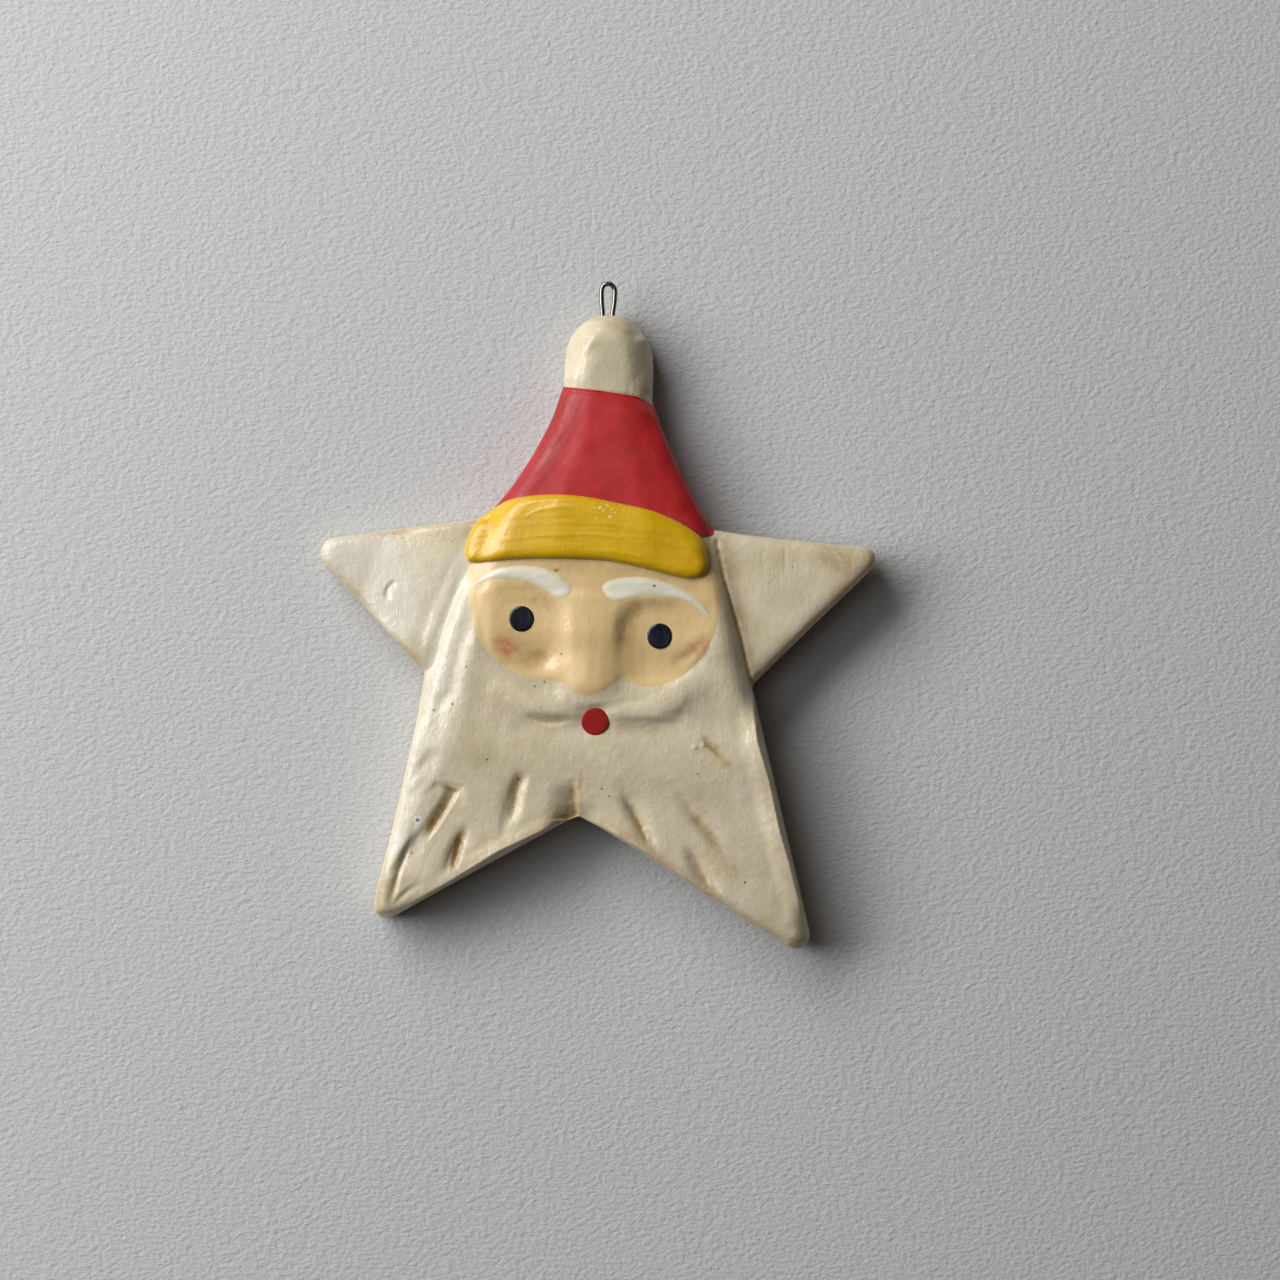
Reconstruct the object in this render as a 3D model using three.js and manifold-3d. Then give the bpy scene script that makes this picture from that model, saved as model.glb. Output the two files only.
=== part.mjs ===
// A tree ornament: a five-pointed star cast in one piece and carved as a bearded old man in a pointed
// hat. The top point is the hat with its pom-pom, the side points are plain, and the lower two points are
// the halves of the beard. Thin coats of colour, a raised hat band, brush-stroke brows and bead eyes and
// mouth lie on the casting, and a bent wire eye is bedded in the pom-pom.
//
// Millimetres. X runs to the viewer's right, Z up, and the carved front faces -Y. The origin is where a
// hook bears inside the wire eye, with the ornament hanging upright.
import * as THREE from "three";
import { mergeVertices } from "three/addons/utils/BufferGeometryUtils.js";
import Module from "manifold-3d";

const wasm = await Module();
wasm.setup();

// The wire eye
const wireDiameter = 0.8;
const eyeWidth = 2.95; // outside, at its widest
const eyeRise = 4.6; // from the pom-pom's crown to where the hook bears
const neckWidth = 2.4; // outside, where the two legs go into the casting
const wireBury = 9; // how deep the legs go
const footSplay = 0.9; // each foot is bent out by this, so that the eye can't pull out
const footLength = 2;
const boreClearance = 0.15; // round the wire

// The outline, from the crown down
const pomWidth = 15;
const pomHeight = 12.8; // crown to the edge of the hat, on the centre line
const hatEdgeTilt = 7; // degrees that the top edge of the hat slopes down to the right
const hatTopWidth = 15.6;
const hatHeight = 20.8; // edge of the hat to the armpits
const hatWidth = 37.4; // at the armpits
const hatWaist = 0.8; // how far each side of the hat bows in
const armReachLeft = 47.6; // centre line to the sharp corner that the tip is rounded from
const armReachRight = 46.6;
const armDropLeft = 4.4; // tip's corner below the armpits
const armDropRight = 2.6;
const armTipRadiusLeft = 2.7;
const armTipRadiusRight = 2.1;
const notchDrop = 25; // armpits to the notches between arms and beard
const notchHalfLeft = 28.3; // centre line to the notch
const notchHalfRight = 24.9;
const crotchDrop = 46.4; // armpits to the notch between the two halves of the beard
const crotchOffset = 2; // to the left of the centre line
const crotchRadius = 1.4;
const beardSpreadLeft = 35.7; // centre line to the sharp corners of the beard's tips
const beardSpreadRight = 36.7;
const beardDropLeft = 66.2; // armpits to the sharp corners
const beardDropRight = 69.4;
const beardTipRadius = 2.2;

// Thicknesses above the flat back
const armThickness = 8.2;
const crownThickness = 8.8;
const hatTopThickness = 9.4;
const browThickness = 10.6;
const lipThickness = 10.2;
const chinThickness = 10.5;
const crotchThickness = 9.6;
const tipThickness = 8.4;
const backBevel = 0.6;
const armBevel = 1.6; // rounded edge round the front of the arms

// Where the figure's front rounds over at the outline: how far in that starts, and how far it falls
const pomEdge = 3.6;
const pomFall = 3.4;
const hatEdge = 2.2;
const hatFall = 1.8;
const leftShoulder = 4.5; // at the left armpit
const leftFlank = 7.5; // a broad slope beside the left arm
const rightShoulder = 2.6;
const rightFlank = 3.4;
const flankFall = 2.5;
const tipEdge = 2.8;
const tipFall = 2;
const crotchEdge = 2.2;
const crotchFall = 1.5;

// The carving
const faceOffset = 1; // the face's middle, to the left of the centre line
const faceTilt = 5.4; // degrees that the eyes and their sockets slope down to the right
const socketWidth = 14.4;
const socketHeight = 12;
const socketDepth = 2.1;
const socketSpan = 23; // between the middles of the sockets
const socketDrop = 17.8; // armpits to the sockets
const noseLength = 15.2;
const noseDrop = 12.2; // armpits to the top of the bridge
const bridgeWidth = 5.6;
const noseWidth = 7.6;
const noseRise = 2.1; // at the tip
const cheekRise = 0.5;
const cheekWidth = 9;
const cheekHeight = 7;
const cheekDrop = 21.5; // armpits to the cheeks
const moustacheWidth = 31;
const moustacheHeight = 6;
const moustacheDrop = 31.4; // armpits to the lowest of its lower edge
const moustacheLift = 2.4; // how far its ends turn up
const moustacheRise = 1.3;
const hatFlatFall = 1.3; // how far the hat's two side flats fall away
const hatGroove = 0.4; // crease between the pom-pom and the hat
const grooveWidth = 3.2;
const foldPitch = 4.6; // soft folds of hair down the left flank
const foldDepth = 0.32;
const foldReach = 9; // how far in from the flank's edge they go
const foldDrift = 1.6; // how far they move in on their way down
const gougeWidth = 4.4; // of the broadest gouge in the beard
const gougeDepth = 1.2;

// What lies on the casting
const seatGap = 0.25; // bed of size and varnish under each coat
const coatThickness = 0.3;
const coatClearance = 0.3; // between the edges of neighbouring coats
const hatBackMargin = 1.6; // bare strip between the hat's colour and the back
const bandWidth = 37.4;
const bandHeight = 10; // in its middle
const bandEndHeight = 5.2;
const bandEndRound = 2.4;
const bandDrop = 5.9; // armpits to the middle of the band's lower edge
const bandOffset = 1.6; // its middle, to the left of the centre line
const bandArch = 1.4; // how far the ends of its lower edge droop
const bandTilt = 2.3; // degrees, down to the right
const bandRise = 1.2;
const bandRound = 1.6; // rounded edge round the front of the band
const faceWidth = 39.6;
const faceDrop = 25.5; // armpits to the face's lower edge
const cheekRadius = 10;
const browSpan = 15.9; // inner end to outer tip
const browArch = 2.7;
const browHeight = 3.3; // thickest, near the inner end
const browTip = 0.9;
const browGap = 5.6; // between the inner ends
const browDrop = 11; // armpits to the inner ends
const browFall = 1.5; // outer tips below the inner ends
const browTilt = 7.2; // degrees, down to the right
const browRise = 0.4;
const browRound = 0.8;
const eyeDiameter = 4.1;
const eyeSpan = 22.1; // between the middles of the eyes
const eyeDrop = 16.5; // armpits to the eyes
const mouthDiameter = 4.4;
const mouthDrop = 31.5; // armpits to the mouth
const beadRise = 0.5;
const beadEdge = 0.25; // height of a bead's wall before it domes over
const beadRoot = 3; // how deep it is drawn before the casting is cut from it

// Fineness of the surfaces
const faceStep = 1.25; // between rows of vertices across the face
const plainStep = 2.1; // and elsewhere
const leastStep = 0.6;
const columns = 16; // across each half of the figure
const arcStep = Math.PI / 8;
const domeSteps = 6; // round each half of the pom-pom's crown
const sideSteps = 4; // down each side of the hat
const bandSteps = 26; // along the hat band
const wireSides = 8;
const wireSteps = 44;
const boreSides = 6;
const boreSteps = 36;

// Levels and places that follow from the sizes
const slope = (degrees) => Math.tan(THREE.MathUtils.degToRad(degrees));
const backY = armThickness / 2; // the wire runs down the middle of the arms' thickness
const crownZ = -eyeRise;
const hatEdgeZ = crownZ - pomHeight;
const armpitZ = hatEdgeZ - hatHeight;
const notchZ = armpitZ - notchDrop;
const noseTopZ = armpitZ - noseDrop;
const noseTipZ = noseTopZ - noseLength;
const lipZ = armpitZ - moustacheDrop;
const mouthZ = armpitZ - mouthDrop;
const crotchZ = armpitZ - crotchDrop;
const pomRadius = pomWidth / 2;
const faceLevel = (x, drop) => armpitZ - drop - (x + faceOffset) * slope(faceTilt);
const hatEdgeLevel = (x) => hatEdgeZ - x * slope(hatEdgeTilt);
const farOut = armReachLeft + armReachRight + beardSpreadLeft + beardSpreadRight;

const ease = (t) => THREE.MathUtils.smoothstep(t, 0, 1);
const { lerp, clamp } = THREE.MathUtils;

// Gathers triangles of [x, y, z] corners into one geometry, and leaves out any that have no area.
class Facets {
  corners = [];
  triangle(...points) {
    const same = (p, q) => p.every((value, i) => Math.abs(value - q[i]) < 1e-5);
    if (points.some((p, i) => same(p, points[(i + 1) % 3]))) return;
    this.corners.push(...points.flat());
  }
  quad(a, b, c, d) {
    this.triangle(a, b, c);
    this.triangle(a, c, d);
  }
  // A patch over a ring of corners that runs anticlockwise as seen from the front.
  patch(ring, facing = "front") {
    const flat = ring.map(([x, , z]) => new THREE.Vector2(x, z));
    for (const face of THREE.ShapeUtils.triangulateShape(flat, [])) {
      const corners = face.map((i) => ring[i]);
      this.triangle(...(facing === "front" ? corners : corners.reverse()));
    }
  }
  // A wall from one such ring to the same ring further back.
  wall(front, back) {
    front.forEach((corner, i) => {
      const next = (i + 1) % front.length;
      this.quad(corner, back[i], back[next], front[next]);
    });
  }
  geometry() {
    const made = new THREE.BufferGeometry();
    made.setAttribute("position", new THREE.Float32BufferAttribute(this.corners, 3));
    return made;
  }
}

// A closed mesh as a solid that can be joined and cut.
function solidOf(geometry) {
  const bare = geometry.clone();
  bare.deleteAttribute("normal");
  bare.deleteAttribute("uv");
  const merged = mergeVertices(bare, 1e-4);
  return new wasm.Manifold(
    new wasm.Mesh({
      numProp: 3,
      vertProperties: merged.attributes.position.array,
      triVerts: new Uint32Array(merged.index.array),
    }),
  );
}

// A solid as a geometry again, in flat facets.
function geometryOf(solid) {
  const { vertProperties, triVerts } = solid.getMesh();
  const shared = new THREE.BufferGeometry();
  shared.setAttribute("position", new THREE.BufferAttribute(vertProperties, 3));
  shared.setIndex(new THREE.BufferAttribute(triVerts, 1));
  const facets = shared.toNonIndexed();
  facets.computeVertexNormals();
  return facets;
}

// Corners { x, z, r, ... } of a closed outline, with each corner of radius r rounded off. The points of
// an arc keep what else their corner holds.
function rounded(corners) {
  return corners.flatMap((corner, i) => {
    if (!corner.r) return [corner];
    const here = new THREE.Vector2(corner.x, corner.z);
    const towards = ({ x, z }) => new THREE.Vector2(x, z).sub(here).normalize();
    const before = towards(corners.at(i - 1));
    const after = towards(corners[(i + 1) % corners.length]);
    const half = Math.acos(clamp(before.dot(after), -1, 1)) / 2;
    const middle = before.clone().add(after).normalize();
    const centre = here.clone().addScaledVector(middle, corner.r / Math.sin(half));
    const turn = Math.sign(after.cross(before)) * (Math.PI - 2 * half);
    const steps = Math.max(2, Math.ceil(Math.abs(turn) / arcStep));
    return Array.from({ length: steps + 1 }, (_, k) => {
      const spoke = middle.clone().multiplyScalar(-corner.r);
      spoke.rotateAround(new THREE.Vector2(), turn * (k / steps - 0.5));
      return { ...corner, x: centre.x + spoke.x, z: centre.y + spoke.y };
    });
  });
}

// The way out of a closed anticlockwise outline at each point, long enough to move both sides by 1.
function waysOut(points) {
  return points.map((p, i) => {
    const before = points.at(i - 1);
    const after = points[(i + 1) % points.length];
    const first = new THREE.Vector2(p.z - before.z, before.x - p.x).normalize();
    const second = new THREE.Vector2(after.z - p.z, p.x - after.x).normalize();
    const out = first.clone().add(second).normalize();
    return out.divideScalar(Math.max(out.dot(first), 0.6));
  });
}

// A prism over a closed anticlockwise outline. Each level { y, inset } from the front to the back gives a
// ring that lies inset in from the outline.
function prism(outline, levels) {
  const out = waysOut(outline);
  const rings = levels.map(({ y, inset }) =>
    outline.map((p, i) => [p.x - out[i].x * inset, y, p.z - out[i].y * inset]),
  );
  const facets = new Facets();
  facets.patch(rings[0]);
  rings.slice(1).forEach((ring, i) => facets.wall(rings[i], ring));
  facets.patch(rings.at(-1), "back");
  return solidOf(facets.geometry());
}

// The outline of the figure, that is the hat, face and beard without the arms. It runs anticlockwise from
// the crown, down the left side first. Where it rounds over at the front, edge is how far in and fall how
// deep.
const pomRound = { edge: pomEdge, fall: pomFall };
const hatRound = { edge: hatEdge, fall: hatFall };
const domePoint = (share) => ({
  ...pomRound,
  x: -Math.sin((share * Math.PI) / 2) * pomRadius,
  z: crownZ - pomRadius * (1 - Math.cos((share * Math.PI) / 2)),
});
function hatSide(side) {
  const x = (side * hatTopWidth) / 2;
  const top = { x, z: hatEdgeLevel(x) };
  return Array.from({ length: sideSteps }, (_, k) => {
    const t = k / sideSteps;
    const bow = side * hatWaist * 4 * t * (1 - t);
    return { ...hatRound, x: lerp(top.x, (side * hatWidth) / 2, t) - bow, z: lerp(top.z, armpitZ, t) };
  });
}
const tipRound = { r: beardTipRadius, edge: tipEdge, fall: tipFall };
const beardCorners = rounded([
  { x: -hatWidth / 2, z: armpitZ, edge: leftShoulder, fall: flankFall },
  { x: -notchHalfLeft, z: notchZ, edge: leftFlank, fall: flankFall },
  { name: "left tip", x: -beardSpreadLeft, z: armpitZ - beardDropLeft, ...tipRound },
  { name: "crotch", x: -crotchOffset, z: crotchZ, r: crotchRadius, edge: crotchEdge, fall: crotchFall },
  { name: "right tip", x: beardSpreadRight, z: armpitZ - beardDropRight, ...tipRound },
  { x: notchHalfRight, z: notchZ, edge: rightFlank, fall: flankFall },
  { x: hatWidth / 2, z: armpitZ, edge: rightShoulder, fall: flankFall },
]);
const dome = Array.from({ length: domeSteps + 1 }, (_, k) => domePoint(k / domeSteps));
const figure = [
  ...dome,
  ...hatSide(-1),
  ...beardCorners,
  ...hatSide(1).reverse(),
  ...dome.slice(1).reverse().map((p) => ({ ...p, x: -p.x })),
];

// The ends of the runs that the outline is made of, each of which goes straight down.
function foremost(name, direction) {
  const named = figure.filter((p) => p.name === name);
  return figure.indexOf(named.reduce((best, p) => (direction * (p.z - best.z) > 0 ? p : best)));
}
const leftTip = foremost("left tip", -1);
const crotch = foremost("crotch", 1);
const rightTip = foremost("right tip", -1);
const runs = {
  leftOuter: figure.slice(0, leftTip + 1),
  leftInner: figure.slice(leftTip, crotch + 1).reverse(),
  rightInner: figure.slice(crotch, rightTip + 1),
  rightOuter: [figure[0], ...figure.slice(rightTip).reverse()],
  spine: [figure[0], figure[crotch]],
};

// The point of a run at a level.
function pointAt(run, z) {
  const i = Math.max(1, run.findIndex((p) => p.z <= z + 1e-6));
  const a = run[i - 1];
  const b = run[i];
  const t = clamp((a.z - z) / (a.z - b.z), 0, 1);
  return { x: lerp(a.x, b.x, t), z };
}

// Levels from top to bottom that hold the corners of the runs where these aren't too close, with more
// between them, and closer together across the face.
function levelsBetween(top, bottom, ...along) {
  const corners = along.flat().map((p) => p.z);
  const kept = [top];
  for (const z of [...corners, lipZ - 1].sort((a, b) => b - a)) {
    if (kept.at(-1) - z > leastStep && z - bottom > leastStep) kept.push(z);
  }
  kept.push(bottom);
  return kept.flatMap((z, i) => {
    if (i === 0) return [z];
    const onFace = z < armpitZ && kept[i - 1] > lipZ;
    const steps = Math.ceil((kept[i - 1] - z) / (onFace ? faceStep : plainStep));
    return Array.from({ length: steps }, (_, k) => lerp(kept[i - 1], z, (k + 1) / steps));
  });
}

// The rows of the figure. Each runs across one half of it, from its left vertex to its right one. The
// crown and the two tips lie beyond the rows and are closed with patches.
const tipRow = beardTipRadius * 0.55; // last row above a tip
const topRowZ = dome[2].z;
const bodyLevels = levelsBetween(topRowZ, figure[crotch].z, runs.leftOuter, runs.rightOuter);
function lowerLevels(outer, inner) {
  return levelsBetween(figure[crotch].z, outer.at(-1).z + tipRow, outer, inner).slice(1);
}
const spineRow = bodyLevels.map((z) => pointAt(runs.spine, z));
function halfRows(outer, inner, side) {
  const upper = bodyLevels.map((z, i) => [pointAt(outer, z), spineRow[i]]);
  const lower = lowerLevels(outer, inner).map((z) => [pointAt(outer, z), pointAt(inner, z)]);
  const rows = [...upper, ...lower].map((ends) => (side < 0 ? ends : ends.reverse()));
  return rows.map(([left, right]) => ({ left, right }));
}
const leftRows = halfRows(runs.leftOuter, runs.leftInner, -1);
const rightRows = halfRows(runs.rightOuter, runs.rightInner, 1);

// All round the figure once more, with one vertex for each end of a row.
const beyond = (points, row) => points.filter((p) => p.z < row.left.z - 1e-3);
const above = (points) => points.filter((p) => p.z > topRowZ + 1e-3);
const leftPatch = beyond(figure.slice(0, crotch), leftRows.at(-1));
const rightPatch = beyond(figure.slice(crotch), rightRows.at(-1));
const topPatch = [...above(figure.slice(rightTip)), ...above(figure.slice(0, leftTip))];
const crotchRow = bodyLevels.length - 1;
const ring = [
  ...leftRows.map((row) => row.left),
  ...leftPatch,
  ...leftRows.slice(crotchRow).map((row) => row.right).reverse(),
  ...rightRows.slice(crotchRow + 1).map((row) => row.left),
  ...rightPatch,
  ...rightRows.map((row) => row.right).reverse(),
  ...topPatch,
];
const ringOut = waysOut(ring);

// How far in from the outline a point lies, with the edge and fall there.
function nearestEdge(x, z) {
  let best = { distance: Infinity };
  figure.forEach((b, i) => {
    const a = figure.at(i - 1);
    const dx = b.x - a.x;
    const dz = b.z - a.z;
    const t = clamp(((x - a.x) * dx + (z - a.z) * dz) / (dx * dx + dz * dz), 0, 1);
    const distance = Math.hypot(x - a.x - t * dx, z - a.z - t * dz);
    if (distance < best.distance) {
      best = { distance, edge: lerp(a.edge, b.edge, t), fall: lerp(a.fall, b.fall, t) };
    }
  });
  return best;
}

// The figure's thickness down its middle.
const stations = [
  [crownZ, crownThickness],
  [hatEdgeZ, hatTopThickness],
  [armpitZ, browThickness],
  [noseTopZ, browThickness],
  [lipZ, lipThickness],
  [mouthZ - mouthDiameter, chinThickness],
  [crotchZ, crotchThickness],
  [armpitZ - beardDropRight, tipThickness],
];
function middleThickness(z) {
  const next = stations.findIndex(([level]) => level <= z);
  if (next === 0) return stations[0][1];
  if (next < 0) return stations.at(-1)[1];
  const [z0, t0] = stations[next - 1];
  const [z1, t1] = stations[next];
  return lerp(t0, t1, ease((z0 - z) / (z0 - z1)));
}

// The sides of the hat are cut back in two broad flats beside a level middle.
function hatFlats(x, z) {
  const t = clamp((hatEdgeZ - z) / hatHeight, 0, 1);
  const half = lerp(hatTopWidth, hatWidth, t) / 2;
  const away = clamp((Math.abs(x) / half - 0.4) / 0.6, 0, 1);
  return hatFlatFall * away * (1 - ease((armpitZ - z) / (bandDrop + bandHeight)));
}

// The crease under the pom-pom.
const groove = (x, z) => hatGroove * (1 - ease(Math.abs(z - hatEdgeLevel(x)) / (grooveWidth / 2)));

// An eye socket: a shallow bowl, steeper at its rim than in its middle.
function socket(x, z, side) {
  const middle = (side * socketSpan) / 2 - faceOffset * 0.6;
  const away = Math.hypot(
    (x - middle) / (socketWidth / 2),
    (z - faceLevel(middle, socketDrop)) / (socketHeight / 2),
  );
  return socketDepth * (1 - ease((away - 0.3) / 0.8));
}

// The nose: a ridge that widens and rises to a rounded tip.
function nose(x, z) {
  const t = (noseTopZ - z) / noseLength;
  const along = clamp(t, 0, 1);
  const half = lerp(bridgeWidth, noseWidth, along) / 2;
  const across = 1 - ease((Math.abs(x + faceOffset * 1.5) / half - 0.3) / 0.9);
  const lengthwise = ease((t + 0.25) / 0.5) * (1 - ease((t - 0.94) / 0.14));
  return noseRise * lerp(0.4, 1, along) * across * lengthwise;
}

// Full cheeks beside the nose.
function cheek(x, z, side) {
  const middle = side * faceWidth * 0.34 - faceOffset;
  const across = (x - middle) / (cheekWidth / 2);
  const up = (z - faceLevel(middle, cheekDrop)) / (cheekHeight / 2);
  return cheekRise * Math.exp(-across * across - up * up);
}

// The moustache: two rolls of hair that part under the nose and turn up at their ends. Each has a steep
// lower edge and dies out towards the face.
function moustache(x, z) {
  const u = Math.abs(x) / (moustacheWidth / 2);
  const lower = lipZ + moustacheLift * Math.max(0, u - 0.35) ** 2 * 2.2;
  const up = (z - lower) / moustacheHeight;
  const section = ease((up + 0.05) / 0.22) * (1 - ease((up - 0.35) / 0.8));
  const parting = lerp(0.25, 1, ease((u - 0.02) / 0.22));
  return moustacheRise * section * parting * (1 - ease((u - 0.8) / 0.4));
}

// Soft folds of hair down the left flank.
function folds(x, z) {
  const t = (armpitZ - z) / notchDrop;
  const away = x + lerp(hatWidth / 2, notchHalfLeft, t);
  const inwards = 1 - ease((away / foldReach - 0.55) / 0.45);
  const fade = ease((t - 0.15) / 0.4) * (1 - ease((t - 1.1) / 0.5)) * inwards;
  return foldDepth * fade * Math.cos(2 * Math.PI * ((away - foldDrift * t) / foldPitch - 0.26));
}

// The level of the figure's front.
function frontY(x, z) {
  const { distance, edge, fall } = nearestEdge(x, z);
  const raised = nose(x, z) + cheek(x, z, -1) + cheek(x, z, 1) + moustache(x, z) + folds(x, z);
  const sunk = hatFlats(x, z) + groove(x, z) + socket(x, z, -1) + socket(x, z, 1);
  const over = fall * Math.max(0, 1 - distance / edge) ** 1.8;
  return backY - middleThickness(z) - raised + sunk + over;
}

// Where each half's columns stand between the ends of its rows: closer together near the ends.
const shares = Array.from({ length: columns + 1 }, (_, j) => {
  return lerp(j / columns, 0.5 - 0.5 * Math.cos((Math.PI * j) / columns), 0.55);
});

// The figure as a solid. grown moves its front forwards and its sides outwards, for the seats and the
// outsides of the coats.
function figureSolid(grown = 0) {
  const place = (p, inset = 0) => {
    const out = ringOut[ring.indexOf(p)];
    const move = grown - inset;
    return out ? { x: p.x + out.x * move, z: p.z + out.y * move } : p;
  };
  const front = (p) => {
    const { x, z } = place(p);
    return [x, frontY(p.x, p.z) - grown, z];
  };
  const across = ({ left, right }) =>
    shares.map((share, j) => {
      if (j === 0) return front(left);
      if (j === columns) return front(right);
      const x = lerp(left.x, right.x, share);
      return [x, frontY(x, left.z) - grown, left.z];
    });
  const facets = new Facets();
  const halves = [leftRows, rightRows].map((rows) => rows.map(across));
  for (const rows of halves) {
    rows.slice(1).forEach((row, i) => {
      row.slice(1).forEach((corner, j) => facets.quad(rows[i][j], row[j], corner, rows[i][j + 1]));
    });
  }
  const [left, right] = halves;
  facets.patch([left.at(-1)[0], ...leftPatch.map(front), ...left.at(-1).slice(1).reverse()]);
  facets.patch([right.at(-1)[0], ...rightPatch.map(front), ...right.at(-1).slice(1).reverse()]);
  facets.patch([...topPatch.map(front), ...left[0], ...right[0].slice(1)]);
  const level = (y, inset) => ring.map((p) => [place(p, inset).x, y, place(p, inset).z]);
  const rim = level(backY - backBevel, 0);
  const back = level(backY, backBevel);
  facets.wall(ring.map(front), rim);
  facets.wall(rim, back);
  facets.patch(back, "back");
  return solidOf(facets.geometry());
}

// The plain side points. Their inner ends lie inside the figure.
function armSolid(side, grown = 0) {
  const [reach, drop, r, notchHalf] =
    side < 0
      ? [armReachLeft, armDropLeft, armTipRadiusLeft, notchHalfLeft]
      : [armReachRight, armDropRight, armTipRadiusRight, notchHalfRight];
  const corners = [
    { x: (side * hatTopWidth) / 2, z: armpitZ - notchDrop / 2 },
    { x: (side * hatWidth) / 2, z: armpitZ },
    { x: side * reach, z: armpitZ - drop, r },
    { x: side * notchHalf, z: notchZ },
  ];
  const outline = rounded(side < 0 ? corners : corners.reverse());
  const frontLevel = backY - armThickness - grown;
  const bend = (share) => ({
    y: frontLevel + armBevel * (1 - Math.sin((share * Math.PI) / 2)),
    inset: armBevel * (1 - Math.cos((share * Math.PI) / 2)) - grown,
  });
  return prism(outline, [
    bend(1),
    bend(0.67),
    bend(0.33),
    bend(0),
    { y: backY - backBevel, inset: -grown },
    { y: backY, inset: backBevel - grown },
  ]);
}

const castingSolid = (grown = 0) => figureSolid(grown).add(armSolid(-1, grown)).add(armSolid(1, grown));

// A place on one half of the beard. down runs from 0 at the notch to 1 at the tip, and across from 0 at
// the outer edge to 1 at the inner one.
function onBeard(side, down, across) {
  const outer = side < 0 ? runs.leftOuter : runs.rightOuter;
  const inner = side < 0 ? runs.leftInner : runs.rightInner;
  const z = lerp(notchZ, outer.at(-1).z, down);
  const x = lerp(pointAt(outer, z).x, pointAt(z > inner[0].z ? runs.spine : inner, z).x, across);
  return new THREE.Vector3(x, frontY(x, z), z);
}

// The gouge marks that part the locks of the beard. wide and deep are shares of the broadest one's width
// and depth, and fattest is how far along it is at its broadest.
const gouges = [
  { side: -1, from: [0.3, 0.18], to: [0.42, 0.08], wide: 0.41, deep: 0.33, fattest: 0.5 },
  { side: -1, from: [0.44, 0.3], to: [0.97, 0.42], wide: 1, deep: 1, fattest: 0.3 },
  { side: -1, from: [0.6, 0.48], to: [0.82, 0.76], wide: 0.45, deep: 0.67, fattest: 0.4 },
  { side: -1, from: [0.37, 0.67], to: [0.66, 0.79], wide: 0.61, deep: 0.83, fattest: 0.45 },
  { side: 1, from: [0.2, 0.35], to: [0.28, 0.21], wide: 0.36, deep: 0.42, fattest: 0.4 },
  { side: 1, from: [0.4, 0.79], to: [0.65, 0.88], wide: 0.55, deep: 0.75, fattest: 0.4 },
  { side: 1, from: [0.4, 0.52], to: [0.64, 0.4], wide: 0.59, deep: 0.42, fattest: 0.5 },
  { side: 1, from: [0.62, 0.66], to: [0.8, 0.86], wide: 0.5, deep: 0.42, fattest: 0.5 },
];

// A spindle that cuts one of them. It lies along the surface and sinks to its depth at its fattest.
function gougeCutter({ side, from, to, wide, deep, fattest }) {
  const start = onBeard(side, ...from);
  const end = onBeard(side, ...to);
  const length = start.distanceTo(end);
  const width = gougeWidth * wide;
  const depth = gougeDepth * deep;
  const radius = (width * width) / (8 * depth) + depth / 2;
  const steps = 7;
  const girth = Array.from({ length: steps + 1 }, (_, k) => {
    const t = k / steps;
    const along = t < fattest ? (fattest - t) / fattest : (t - fattest) / (1 - fattest);
    return new THREE.Vector2(radius - depth * along ** 2 - boreClearance / 8, t * length);
  });
  const profile = [new THREE.Vector2(0, 0), ...girth, new THREE.Vector2(0, length)];
  const spindle = new THREE.LatheGeometry(profile, 16);
  const along = end.clone().sub(start).normalize();
  spindle.applyQuaternion(new THREE.Quaternion().setFromUnitVectors(new THREE.Vector3(0, 1, 0), along));
  spindle.translate(start.x, start.y - radius + depth, start.z);
  return solidOf(spindle);
}

// The wire's path: up from one foot, round the eye and down to the other.
function wirePath(past = 0) {
  const wide = (eyeWidth - wireDiameter) / 2;
  const neck = (neckWidth - wireDiameter) / 2;
  const bearing = wireDiameter / 2;
  const half = [
    [neck + footSplay, crownZ - wireBury - past],
    [neck + footSplay * 0.8, crownZ - wireBury + footLength * 0.35],
    [neck, crownZ - wireBury + footLength],
    [neck, crownZ - wireBury / 2],
    [neck, crownZ],
    [lerp(neck, wide, 0.6), lerp(crownZ, 0, 0.35)],
    [wide, bearing - wide * 1.25],
    [wide * 0.72, bearing - wide * 0.32],
  ];
  const mirrored = half.map(([x, z]) => [-x, z]).reverse();
  const points = [...half, [0, bearing], ...mirrored].map(([x, z]) => new THREE.Vector3(x, 0, z));
  return new THREE.CatmullRomCurve3(points, false, "centripetal");
}

// A round rod along a path.
function rodSolid(path, radius, sides, steps) {
  const section = new THREE.Shape();
  for (let k = 0; k < sides; k++) {
    const angle = (2 * Math.PI * (k + 0.5)) / sides;
    const corner = [Math.cos(angle) * radius, Math.sin(angle) * radius];
    if (k === 0) section.moveTo(...corner);
    else section.lineTo(...corner);
  }
  return solidOf(new THREE.ExtrudeGeometry(section, { steps, extrudePath: path, bevelEnabled: false }));
}

// How far an edge draws in towards the end of a strip, so that its corners are round.
function cornerInset(away, radius) {
  const short = Math.max(0, radius - away);
  return radius - Math.sqrt(radius * radius - short * short);
}

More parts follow.
